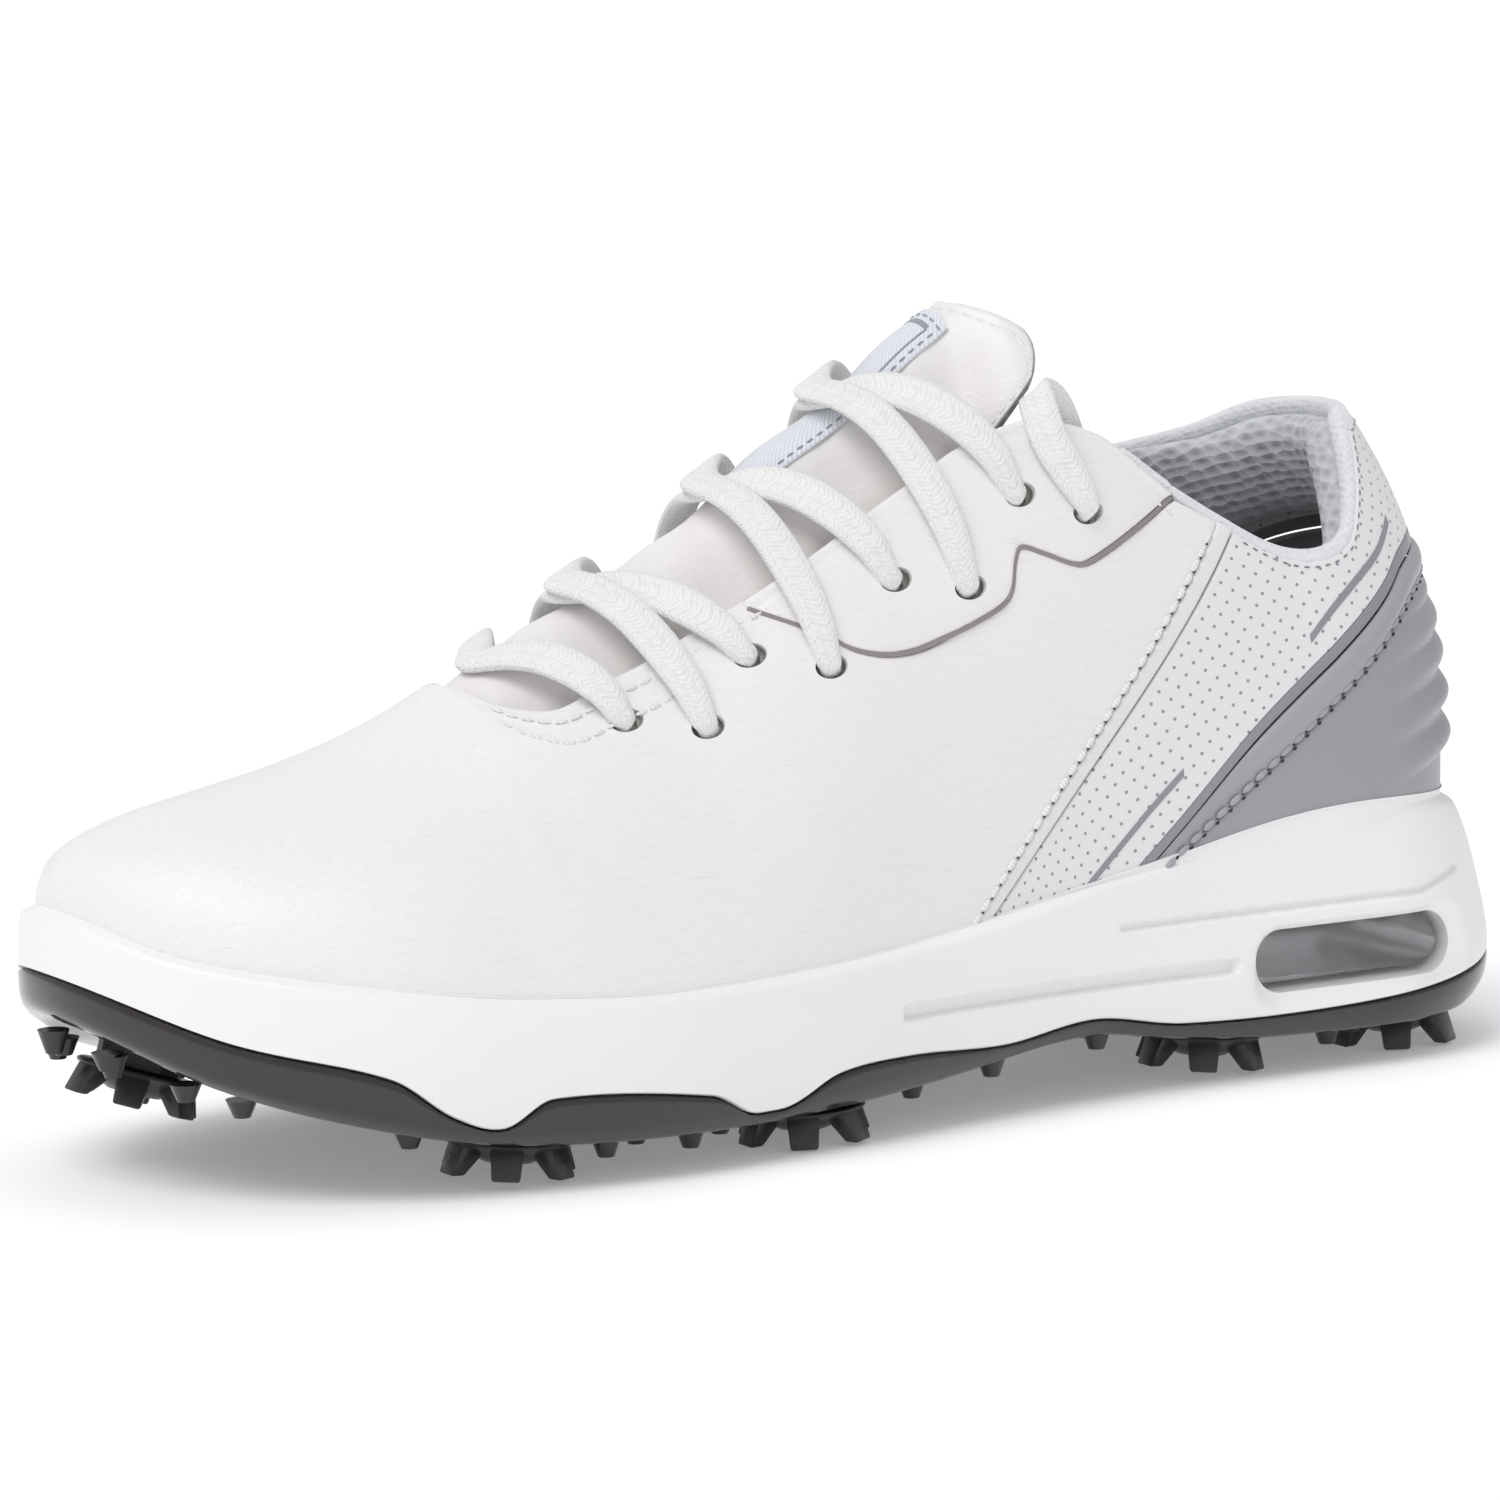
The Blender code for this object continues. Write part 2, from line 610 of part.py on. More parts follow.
def make_cleats(outsole, midsole):
    cleat, socket = cleat_mesh(), socket_mesh()
    for tool in socket_cutters(SOCKET_HEIGHT + 4 + GAP, "socket_pocket"):
        cut(outsole, tool)
        cut(midsole, tool)
    for label, x, y in CLEATS:
        holder = add_mesh(f"cleat_socket_{label}", socket.copy(), (0.05, 0.05, 0.05), 0.5)
        holder.matrix_world = cleat_matrix(x, y)
        screw_in = add_mesh(f"cleat_{label}", cleat.copy(), BLACK, 0.4)
        screw_in.matrix_world = cleat_matrix(x, y)


# --- the upper ------------------------------------------------------------------------------------------


def toe_stations(rear, count):
    """Stations from the toe to a rear one, closer together round the toe."""
    return [LAST_TOE + (rear - LAST_TOE) * (1 - math.cos(math.pi / 2 * i / count)) for i in range(count + 1)]


def heel_columns(front, count):
    """(station, side) pairs from the lateral side round the heel to the medial side."""
    half = [front + (LAST_HEEL - front) * math.sin(math.pi / 2 * i / count) for i in range(count + 1)]
    return [(x, LATERAL) for x in half] + [(x, MEDIAL) for x in half[-2::-1]]


def edge_height(points, side, x, drop=0.0):
    table = points[side] if isinstance(points, dict) else points
    return smooth(table, x) - drop


def throat_side(side, rows, depth, inset):
    """Vamp columns from the throat front to the side seam: (lower, upper) places."""
    tops = [*polyline(THROAT, 7), *[(x + 0.9, z - 0.9) for x, z in EYESTAY_LOW[1:]]]
    tops.append((SEAM_HEAD[0] - 1.2, edge_height(COLLAR, side, SEAM_HEAD[0] - 1.2, 0.4)))

    count = len(tops)
    found = []
    for i, (x, z) in enumerate(tops):
        f = i / (count - 1)
        foot = -71 + (SEAM_FOOT[0] + 71) * f
        found.append(straight_column(side, foot, (x, z - inset), rows, depth))
    return found


def whole_vamp(depth, inset, rows):
    """Columns of the vamp, from the medial seam round the toe to the lateral seam."""
    sides = {}
    for side in (LATERAL, MEDIAL):
        toe = [column(side, (x, TUCK), (x, 1.0), rows, depth) for x in toe_stations(-72.5, 11)]
        sides[side] = toe + throat_side(side, rows, depth, inset)
    return sides[MEDIAL][::-1] + sides[LATERAL]


def make_vamp():
    return panel("vamp", whole_vamp(0, 0.5, 6), LEATHER, WHITE_LEATHER)


def make_eyestay(side):
    low = [(x - 0.5, z + 0.5) for x, z in EYESTAY_LOW]
    columns = [column(side, place(*a), place(*b), 4, -0.5) for a, b in zip(low[1:-1], EYESTAY_TOP[1:-1])]
    return panel(f"eyestay_{side_name(side)}", outward(columns, side), LEATHER + 0.5, WHITE_LEATHER)


def strip_columns(side, from_shift, to_shift, depth, rows=8):
    """Columns between two lines that run beside the side seam, from the cup to the collar."""
    columns = []
    for shift in (from_shift, to_shift):
        foot_x, head_x = SEAM_FOOT[0] + shift, SEAM_HEAD[0] + shift * 0.8
        head = (head_x, edge_height(COLLAR, side, head_x) - 0.4)
        columns.append(straight_column(side, foot_x, head, rows, depth))
    return outward(columns, side)


def band_top(x):
    return smooth(PIPING_HIGH, x) + BAND


def make_quarters():
    """Perforated leather behind each side seam, down to the grey band; the two meet at the back seam."""
    for side in (LATERAL, MEDIAL):
        name = side_name(side)
        panel(f"seam_strip_{name}", strip_columns(side, 0.5, STRIP, 0), LEATHER, WHITE_LEATHER)
        foot_x, head_x = SEAM_FOOT[0] + STRIP + 0.5, SEAM_HEAD[0] + STRIP * 0.8 + 0.5
        foot_z, head_z = smooth(LIP, foot_x), edge_height(COLLAR, side, head_x) - 0.4
        front = [foot_x + (BAND_FRONT - 0.7 - foot_x) * f for f in (0.08, 0.4, 0.75, 1)]
        rear = [x for x, _ in heel_columns(BAND_FRONT, 12)[:12]] + [LAST_HEEL - BACK_SEAM]
        columns = []
        for x in [*front, *rear]:
            low = (x, TUCK) if x < BAND_FRONT else place(x, band_top(x) + GAP)
            if x < head_x:
                high = place(x, foot_z + (head_z - foot_z) * (x - foot_x) / (head_x - foot_x))
            else:
                high = place(x, edge_height(COLLAR, side, x) - 0.4)
            columns.append(column(side, low, high, 6 if low[1] == TUCK else 7, 0))
        panel(f"quarter_{name}", outward(columns, side), LEATHER, WHITE_LEATHER)


def heel_strip(name, front, low, high, depth, thickness, colour, roughness=0.45, rows=2, count=12):
    """A piece that wraps round the heel between two height lines."""
    columns = []
    for x, side in heel_columns(front, count):
        bottom = (x, TUCK) if low is None else place(x, low(x, side))
        columns.append(column(side, bottom, place(x, high(x, side)), rows, depth))
    return panel(name, columns, thickness, colour, roughness)


def make_heel():
    """The grey heel: the moulded cover, a padded piping along its edge, and a flat band along that."""
    low, high = lambda x, side: smooth(PIPING_LOW, x), lambda x, side: smooth(PIPING_HIGH, x)
    heel_strip("heel_counter_cover", BAND_FRONT, None, lambda x, side: low(x, side) - GAP / 2,
               -0.2, LEATHER + 0.2, GREY, rows=4)
    heel_strip("heel_piping", BAND_FRONT, lambda x, side: low(x, side) + GAP / 2,
               lambda x, side: high(x, side) - GAP / 2, -1.0, LEATHER + 1.0, GREY)
    heel_strip("heel_band", BAND_FRONT, lambda x, side: high(x, side) + GAP / 2,
               lambda x, side: band_top(x) - GAP / 2, 0, LEATHER, GREY, rows=1)
    heel_strip("heel_stiffener", 70, None, lambda x, side: min(84, edge_height(COLLAR, side, x) - COLLAR_DEEP),
               BACKING_DEPTH, BACKING, TAN, rows=3, count=10)


def make_linings():
    """What lies behind the leather: mesh lining, foam backing, the toe puff and the eyelet strips."""
    columns = [column(side, (x, TUCK), place(x, quarter_lining_top(x, side)), 4, LINING_DEPTH)
               for x, side in heel_columns(22, 14)]
    panel("quarter_lining", columns, LINING, KNIT, 0.9)
    toe, puff = {}, {}
    for side in (LATERAL, MEDIAL):
        toe[side] = [column(side, (x, TUCK), (x, 1.0), 5, LINING_DEPTH) for x in toe_stations(-74, 8)]
        toe[side] += [column(side, (x, TUCK), place(x, z), 5, LINING_DEPTH) for x, z in VAMP_LINING_EDGE]
        puff[side] = [column(side, (x, TUCK), (x, 1.0), 5, BACKING_DEPTH) for x in toe_stations(-104, 7)]
        low = [column(side, (x, TUCK), place(x, z - 6), 4, BACKING_DEPTH) for x, z in VAMP_LINING_EDGE[1:]]
        panel(f"foam_backing_{side_name(side)}", outward(low, side), BACKING, FOAM, 0.9)
        strip = [column(side, place(x, z), place(x, edge_height(THROAT_EDGE, side, x)), 3, STRIP_DEPTH)
                 for x, z in EYELET_STRIP]
        panel(f"eyelet_strip_{side_name(side)}", outward(strip, side), EYELET_BACKING, TAN, 0.8)
    panel("vamp_lining", toe[MEDIAL][::-1] + toe[LATERAL], LINING, KNIT, 0.9)
    panel("toe_puff", puff[MEDIAL][::-1] + puff[LATERAL], BACKING, TAN, 0.6)


def quarter_lining_top(x, side):
    """The lining ends under the padded collar."""
    return min(84 + (x - 22) * 0.05, edge_height(COLLAR, side, x) - COLLAR_DEEP)


# --- collar, tongue and lace --------------------------------------------------------------------------------


def collar_path():
    """(station, side) places along the opening's edge, from lateral front round the heel to medial front."""
    return heel_columns(60, 13)


def collar_ring(x, side, half_thick, half_tall, drop, count=10):
    """A rounded section of the collar roll, just inside the opening's edge."""
    top = edge_height(COLLAR, side, x) if x > 69 else smooth([(60, 117), (69, 110)] if side == LATERAL
                                                              else [(60, 118), (69, 113)], x)
    ring = []
    for k in range(count):
        angle = 2 * math.pi * k / count
        z = top - drop + half_tall * math.sin(angle)
        depth = LEATHER + GAP + half_thick + half_thick * math.cos(angle)
        low = min(z, top + 2.5)
        ring.append(on_last(x, theta_of(x, low), side, depth) + Vector((0, 0, z - low)))
    return ring


def make_roll(name, half_thick, half_tall, drop, colour):
    bm = bmesh.new()
    rings = [[bm.verts.new(at(*p)) for p in collar_ring(x, side, half_thick, half_tall, drop)]
             for x, side in collar_path()]
    for first, second in zip(rings, rings[1:]):
        for k in range(len(first)):
            m = (k + 1) % len(first)
            bm.faces.new((first[k], first[m], second[m], second[k]))
    bm.faces.new(rings[0])
    bm.faces.new(rings[-1])
    bmesh.ops.recalc_face_normals(bm, faces=bm.faces)
    return add(name, bm, colour, 0.9)


TONGUE_BASE, TONGUE_TOP, TONGUE_WING = -62.0, 34.0, 15.0
LABEL_X = (-14, 30)
TONGUE_EDGE = [(-62, 0.66), (-20, 0.60), (20, 0.56), (34, 0.60), (49, 0.68)]


def tongue_depth(x, theta):
    """How far the tongue's outer face lies under the last: more at its edges, where the lace passes."""
    edge = 1 - ramp(theta, 0.70, 0.94)
    lift = ramp(x, 26, 40)
    return 2.6 + 3.6 * edge * (1 - lift) - 2.4 * lift


def tongue_skin(extra, rows=12, across=8):
    """Columns of a tongue layer, a depth under the tongue's outer face."""
    columns = []
    for i in range(across + 1):
        g = -1 + 2 * i / across
        side = LATERAL if g <= 0 else MEDIAL
        points = []
        for r in range(rows + 1):
            f = r / rows
            x = TONGUE_BASE + (TONGUE_TOP - TONGUE_BASE) * f + TONGUE_WING * abs(g) ** 1.6 * f
            theta = 1 - (1 - smooth(TONGUE_EDGE, x)) * abs(g)
            points.append(on_last(x, theta, side, tongue_depth(x, theta) + extra))
        columns.append(points)
    return [row for row in zip(*columns)]


def make_tongue():
    layers = [("tongue_leather", 0.0, 1.2, WHITE_LEATHER), ("tongue_foam", 1.8, 2.8, FOAM),
              ("tongue_lining", 5.6, 0.8, KNIT)]
    for name, extra, thickness, colour in layers:
        rows = tongue_skin(extra)
        panel(name, rows, thickness, colour, 0.7)


def make_label():
    """The woven label sewn on the middle of the tongue."""
    rows = []
    for r in range(13):
        x = LABEL_X[0] + (LABEL_X[1] - LABEL_X[0]) * r / 12
        row = []
        for g in (-1, -0.5, 0, 0.5, 1):
            side = LATERAL if g <= 0 else MEDIAL
            theta = 1 - 0.13 * abs(g)
            row.append(on_last(x, theta, side, tongue_depth(x, theta) - 0.8))
        rows.append(row)
    panel("tongue_label", rows, 0.4, (0.75, 0.77, 0.85), 0.8)


def lace_side(n, side, depth):
    """Beside an eyelet, at a depth; n counts the eyelets from the toe, from 1."""
    return spot(EYELETS[n - 1], side, depth)


def strand(first, side_a, last, side_b, ridge_x, depth):
    """The lace's points on its way over the tongue, from above one eyelet to above another."""
    points = [lace_side(first, side_a, LACE_ABOVE)]
    for n, side, order in ((first, side_a, 1), (last, side_b, -1)):
        x, theta = place(*EYELETS[n - 1])
        leg = []
        for f in (0.3, 0.65):
            height = LACE_ABOVE + (depth - LACE_ABOVE) * f - 0.9
            leg.append(on_last(x + (ridge_x - x) * f, theta + (1 - theta) * f, side, height))
        if order == 1:
            points += [*leg, on_last(ridge_x, 1.0, LATERAL, depth)]
        else:
            points += leg[::-1]
    return [*points, lace_side(last, side_b, LACE_ABOVE)]


def lace_tail(side):
    """From above the top eyelet over the eyestay's edge and down inside the quarter, to the free end."""
    route = [lace_side(8, side, LACE_ABOVE)]
    route += [spot(p, side, depth) for p, depth in LACE_TAIL]
    return route


def lace_route():
    """The whole lace: two tails, seven strands over the tongue, and the short runs under the eyestay."""
    points = lace_tail(LATERAL)[::-1]
    top, under = LACE_CROSSING
    crossings = [(8, 7, 6, 7, LATERAL, under), (6, 5, 4, 5, MEDIAL, top), (4, 3, 2, 3, LATERAL, under),
                 (2, 1, 1, 1, MEDIAL, under), (1, 2, 3, 3, LATERAL, top), (3, 4, 5, 5, MEDIAL, under),
                 (5, 6, 7, 7, LATERAL, top)]
    for down, up, landing, pair, side, depth in crossings:
        points += [lace_side(down, side, LACE_BELOW), lace_side(up, side, LACE_BELOW)]
        points += strand(up, side, landing, -side, LACE_RIDGE[pair], depth)
    points += [lace_side(7, MEDIAL, LACE_BELOW), lace_side(8, MEDIAL, LACE_BELOW)]
    return points + lace_tail(MEDIAL)


def make_lace():
    route = lace_route()
    curve = bpy.data.curves.new("lace", "CURVE")
    curve.dimensions = "3D"
    curve.bevel_depth = LACE_RADIUS * MM
    curve.bevel_resolution = 1
    curve.use_fill_caps = True
    spline = curve.splines.new("POLY")
    spline.points.add(len(route) - 1)
    for point, co in zip(spline.points, route):
        point.co = (*at(*co), 1)
    lace = bpy.data.objects.new("lace", curve)
    curve.materials.append(material("lace", KNIT, 0.9))
    SHOE.objects.link(lace)
    for side in (LATERAL, MEDIAL):
        end, before = [spot(p, side, depth) for p, depth in LACE_TAIL[:-3:-1]]
        along = (end - before).normalized()
        bm = bmesh.new()
        bmesh.ops.create_cone(bm, cap_ends=True, segments=12, radius1=AGLET_RADIUS * MM,
                              radius2=AGLET_RADIUS * MM, depth=AGLET_LENGTH * MM)
        aglet = add(f"aglet_{side_name(side)}", bm, KNIT, 0.2)
        aglet.rotation_euler = along.to_track_quat("Z", "Y").to_euler()
        aglet.location = at(*(end + along * (AGLET_LENGTH / 2 + GAP)))


def make_eyelets():
    """Round holes through the leather, the eyestay and the strip behind them."""
    for side in (LATERAL, MEDIAL):
        name = side_name(side)
        layers = [bpy.data.objects[n] for n in ("vamp", f"eyestay_{name}", f"eyelet_strip_{name}")]
        for n, eyelet in enumerate(EYELETS, 1):
            bm = bmesh.new()
            bmesh.ops.create_cone(bm, cap_ends=True, segments=10, radius1=EYELET_RADIUS * MM,
                                  radius2=EYELET_RADIUS * MM, depth=8 * MM)
            punch = cutter(f"eyelet_{name}_{n}", bm)
            normal = last_normal(*place(*eyelet), side)
            punch.rotation_euler = normal.to_track_quat("Z", "Y").to_euler()
            punch.location = at(*spot(eyelet, side, 1.0))
            for layer in (layers[0] if n < 5 else layers[1], layers[2]):
                cut(layer, punch)


for build in (make_vamp, make_quarters, make_heel, make_linings, make_tongue, make_label, make_shank,
              make_air_cushion, make_lace):
    build()
OUTSOLE, MIDSOLE = make_outsole(), make_midsole()
cut(MIDSOLE, cutter("window", stadium(WINDOW_X, WINDOW_Z, -60, 60)))
flat_insert("insole_board", -LINING_DEPTH - LINING - 0.5, BOARD_RISE, BOARD, TAN, 0.8)
flat_insert("sockliner", -LINING_DEPTH - LINING - 0.6, SOCKLINER_RISE, SOCKLINER, (0.2, 0.2, 0.22), 0.9)
make_cleats(OUTSOLE, MIDSOLE)
for build_side in (LATERAL, MEDIAL):
    make_eyestay(build_side)
make_roll("collar_padding", 5.0, 9.5, 8.0, KNIT)
make_eyelets()
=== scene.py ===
# %% [markdown]
# # A golf shoe, left foot
# The shoe is a leather upper pulled over a foot form (the last), a foam midsole, a rubber outsole and
# eight screw-in cleats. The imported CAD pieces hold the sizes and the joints. This lesson makes the fine
# surface of each piece that shows: cut leather, thread, knit, moulded foam and rubber.

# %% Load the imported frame
import math

import bpy
import numpy as np
from mathutils import Matrix, Vector


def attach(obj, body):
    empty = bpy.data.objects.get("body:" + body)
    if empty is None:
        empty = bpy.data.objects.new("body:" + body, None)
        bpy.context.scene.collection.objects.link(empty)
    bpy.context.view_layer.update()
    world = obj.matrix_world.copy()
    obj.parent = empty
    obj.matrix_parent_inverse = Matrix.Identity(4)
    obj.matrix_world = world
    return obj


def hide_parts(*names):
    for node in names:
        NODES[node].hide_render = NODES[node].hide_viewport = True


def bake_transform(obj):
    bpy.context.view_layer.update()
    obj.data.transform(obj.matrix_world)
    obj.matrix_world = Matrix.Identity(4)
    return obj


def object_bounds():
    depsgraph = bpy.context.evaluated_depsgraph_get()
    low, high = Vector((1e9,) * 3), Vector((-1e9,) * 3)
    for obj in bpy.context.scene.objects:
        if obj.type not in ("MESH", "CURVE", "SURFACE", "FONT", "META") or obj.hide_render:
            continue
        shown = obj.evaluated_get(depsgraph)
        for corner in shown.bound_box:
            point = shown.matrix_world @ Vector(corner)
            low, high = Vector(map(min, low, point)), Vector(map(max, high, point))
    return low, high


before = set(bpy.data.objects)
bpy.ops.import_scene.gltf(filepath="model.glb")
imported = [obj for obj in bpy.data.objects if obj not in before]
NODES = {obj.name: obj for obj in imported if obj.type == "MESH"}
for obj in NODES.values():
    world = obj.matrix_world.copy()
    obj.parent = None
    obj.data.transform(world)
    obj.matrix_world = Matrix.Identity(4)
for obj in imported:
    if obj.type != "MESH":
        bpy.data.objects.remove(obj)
CAD_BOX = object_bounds()
bpy.ops.object.select_all(action="DESELECT")
print("CAD box in millimetres:", [[round(c * 1000, 1) for c in corner] for corner in CAD_BOX])

# %% [markdown]
# ## Light, floor and camera
# A white shoe on white shows its form only by soft shade, so one wide sun gives a gentle key from the toe
# side and an even white world fills in. The camera stands 1.4 m away with a long lens, a little above the
# floor and 30 degrees round towards the toe, and it leans by about one degree.

# %% Studio
MM = 0.001
LATERAL, MEDIAL = -1, 1
VIEW_TURN, VIEW_RISE, VIEW_LEAN = math.radians(30), math.radians(8.5), math.radians(-1.2)
VIEW_TARGET = Vector((-0.25, 1.0, 66.0)) * MM
VIEW_DISTANCE = 1.4

scene = bpy.context.scene
scene.view_settings.view_transform = "Standard"
camera = bpy.data.objects.new("camera", bpy.data.cameras.new("camera"))
scene.collection.objects.link(camera)
back = Vector((-math.sin(VIEW_TURN) * math.cos(VIEW_RISE), -math.cos(VIEW_TURN) * math.cos(VIEW_RISE),
               math.sin(VIEW_RISE)))
right = Vector((math.cos(VIEW_TURN), -math.sin(VIEW_TURN), 0))
up = back.cross(right)
right, up = (right * math.cos(VIEW_LEAN) + up * math.sin(VIEW_LEAN),
             up * math.cos(VIEW_LEAN) - right * math.sin(VIEW_LEAN))
place = Matrix((right, up, back)).transposed().to_4x4()
place.translation = VIEW_TARGET + back * VIEW_DISTANCE
camera.matrix_world = place
camera.data.lens, camera.data.sensor_width = 183.6, 36
camera.data.shift_x, camera.data.shift_y = -0.018, -0.0047
camera.data.clip_end = 100
scene.camera = camera

world = bpy.data.worlds.new("white_room")
world.use_nodes = True
world.node_tree.nodes["Background"].inputs["Color"].default_value = (0.98, 0.985, 1, 1)
path_kind = world.node_tree.nodes.new("ShaderNodeLightPath")
level = world.node_tree.nodes.new("ShaderNodeMapRange")
level.inputs["To Min"].default_value, level.inputs["To Max"].default_value = 0.6, 1.1
world.node_tree.links.new(path_kind.outputs["Is Camera Ray"], level.inputs["Value"])
world.node_tree.links.new(level.outputs["Result"], world.node_tree.nodes["Background"].inputs["Strength"])
scene.world = world
for name, strength, width, direction in (("key", 1.3, 35, (-0.6, -0.25, 1.0)), ("rim", 0.2, 50, (0.3, 0.9, 0.7))):
    sun = bpy.data.objects.new(name, bpy.data.lights.new(name, "SUN"))
    sun.data.energy, sun.data.angle = strength, math.radians(width)
    sun.rotation_euler = Vector(direction).to_track_quat("Z", "Y").to_euler()
    scene.collection.objects.link(sun)

bpy.ops.mesh.primitive_plane_add(size=60, location=(0, 0, CAD_BOX[0][2] - 0.0002))
floor = bpy.context.object
floor.name = "floor"
paper = bpy.data.materials.new("white_paper")
paper.use_nodes = True
sheet = paper.node_tree.nodes["Principled BSDF"]
sheet.inputs["Base Color"].default_value = (0.9, 0.9, 0.9, 1)
sheet.inputs["Roughness"].default_value = 0.9
sheet.inputs["Emission Color"].default_value = (1, 1, 1, 1)
sheet.inputs["Emission Strength"].default_value = 0.22
floor.data.materials.append(paper)
print("camera", [round(c, 3) for c in camera.location])

# %% [markdown]
# ## How materials are made
# Each finish is a Principled shader. Its colours are written as hex, as a paint chart gives them, and one
# function turns them linear. One function adds a node with its settings and its links.

# %% Material helpers


def linear(code):
    """A hex colour as linear RGBA."""
    channels = [int(code[i:i + 2], 16) / 255 for i in (1, 3, 5)]
    return (*[c / 12.92 if c <= 0.04045 else ((c + 0.055) / 1.055) ** 2.4 for c in channels], 1)


def node(tree, kind, inputs, **settings):
    """Adds a node. inputs maps a socket to its value, or to the output that it is linked from."""
    made = tree.nodes.new(kind)
    for name, value in settings.items():
        setattr(made, name, value)
    for socket, value in inputs.items():
        if isinstance(value, bpy.types.NodeSocket):
            tree.links.new(value, made.inputs[socket])
        else:
            made.inputs[socket].default_value = value
    return made


def new_finish(name, colour, roughness, **shader_inputs):
    """A material with its node tree and shader, ready for a pattern."""
    made = bpy.data.materials.new(name)
    made.use_nodes = True
    shader = made.node_tree.nodes["Principled BSDF"]
    shader.inputs["Base Color"].default_value = linear(colour)
    shader.inputs["Roughness"].default_value = roughness
    for socket, value in shader_inputs.items():
        shader.inputs[socket.replace("_", " ")].default_value = value
    return made, made.node_tree, shader


def two_tones(tree, shader, mask, low, high):
    """Colours the shader between two hex tones by a 0 to 1 mask, and returns the mix's output."""
    mix = node(tree, "ShaderNodeMix", {"Factor": mask, "A": linear(low), "B": linear(high)}, data_type="RGBA")
    colour = next(s for s in mix.outputs if s.type == "RGBA")
    tree.links.new(colour, shader.inputs["Base Color"])
    return colour


def object_pattern(tree, stretch=(1, 1, 1), turn=(0, 0, 0)):
    """Object coordinates, stretched and turned."""
    coordinates = node(tree, "ShaderNodeTexCoord", {})
    return node(tree, "ShaderNodeMapping", {"Vector": coordinates.outputs["Object"], "Scale": stretch,
                                            "Rotation": turn}).outputs["Vector"]


def add_bump(tree, shader, height, depth_mm, strength=1.0, under=None):
    """A bump of a depth in millimetres; under is a bump that it lies over."""
    inputs = {"Height": height, "Distance": depth_mm * MM, "Strength": strength}
    if under is not None:
        inputs["Normal"] = under
    bump = node(tree, "ShaderNodeBump", inputs).outputs["Normal"]
    tree.links.new(bump, shader.inputs["Normal"])
    return bump


# %% [markdown]
# ## Leather
# Full-grain leather is drummed and then finished with a thin pigment coat: satin, with fine wrinkles that
# run along the shoe, because the hide is pulled that way over the last. Stretched noise gives the
# wrinkles, about 1 mm apart and 5 mm long, and a small cell pattern gives the pores between them.

# %% Leather finishes


def coated_leather(name, light, dark, wrinkle=0.3, roughness=0.46):
    made, tree, shader = new_finish(name, light, roughness, Coat_Weight=0.12, Coat_Roughness=0.35)
    broad = node(tree, "ShaderNodeTexNoise", {"Vector": object_pattern(tree), "Scale": 22, "Detail": 2})
    two_tones(tree, shader, broad.outputs["Fac"], dark, light)
    wrinkles = node(tree, "ShaderNodeTexNoise", {"Vector": object_pattern(tree, (0.26, 1, 1.1), (0, 0.5, 0)),
                                                 "Scale": 760, "Detail": 4, "Roughness": 0.55, "Distortion": 0.5})
    pores = node(tree, "ShaderNodeTexVoronoi", {"Vector": object_pattern(tree, (0.7, 1, 1)), "Scale": 1500})
    first = add_bump(tree, shader, wrinkles.outputs["Fac"], wrinkle)
    add_bump(tree, shader, pores.outputs["Distance"], 0.05, 0.6, first)
    return made


WHITE_LEATHER = coated_leather("white_coated_leather", "#F4F1F0", "#ECE9E9")
STRIP_LEATHER = coated_leather("strip_coated_leather", "#ECEBEC", "#E4E3E5", 0.1)
GREY_COVER = coated_leather("grey_moulded_microfibre", "#A2A1A6", "#99989D", 0.05, 0.42)
GREY_PIPING = coated_leather("grey_padded_piping", "#A9A7AC", "#A09EA4", 0.05, 0.36)
GREY_BAND = coated_leather("grey_flat_band", "#98959B", "#8E8C92", 0.04, 0.34)


def punched_leather(name, light, dark, pitch=3.7, hole=0.62):
    """Leather with needle holes in slanting rows: a square lattice on the piece's own UV map, turned."""
    made, tree, shader = new_finish(name, light, 0.48, Coat_Weight=0.1, Coat_Roughness=0.35)
    flat = node(tree, "ShaderNodeUVMap", {}, uv_map="flat_mm")
    rows = node(tree, "ShaderNodeMapping", {"Vector": flat.outputs["UV"], "Rotation": (0, 0, math.radians(38)),
                                            "Scale": (100 / pitch, 100 / pitch, 1)})
    cells = node(tree, "ShaderNodeTexVoronoi", {"Vector": rows.outputs["Vector"], "Scale": 1, "Randomness": 0},
                 voronoi_dimensions="2D")
    holes = node(tree, "ShaderNodeMapRange", {"Value": cells.outputs["Distance"], "From Min": hole / pitch * 0.35,
                                              "From Max": hole / pitch * 0.75})
    # The holes are not cut: their centres take the dark tone, which is painted shade, and the bump dips them.
    two_tones(tree, shader, holes.outputs["Result"], dark, light)
    wrinkles = node(tree, "ShaderNodeTexNoise", {"Vector": object_pattern(tree, (0.3, 1, 1)), "Scale": 900,
                                                 "Detail": 3})
    first = add_bump(tree, shader, holes.outputs["Result"], 0.35)
    add_bump(tree, shader, wrinkles.outputs["Fac"], 0.06, 0.8, first)
    return made


# The second colour is the painted shade in the punched holes.
PUNCHED_LEATHER = punched_leather("punched_quarter_leather", "#E9E8EA", "#A5A2A7", 2.6, 0.44)
print("leather finishes made")

# %% [markdown]
# ## Thread, knit and mesh
# Thread is plied, so it has a slanting twist. The lace is a flat knitted tube of thick yarn: rows of small
# V shapes. The collar is a brushed knit, the lining an open mesh with round dimples about 2.4 mm apart.

# %% Textile finishes


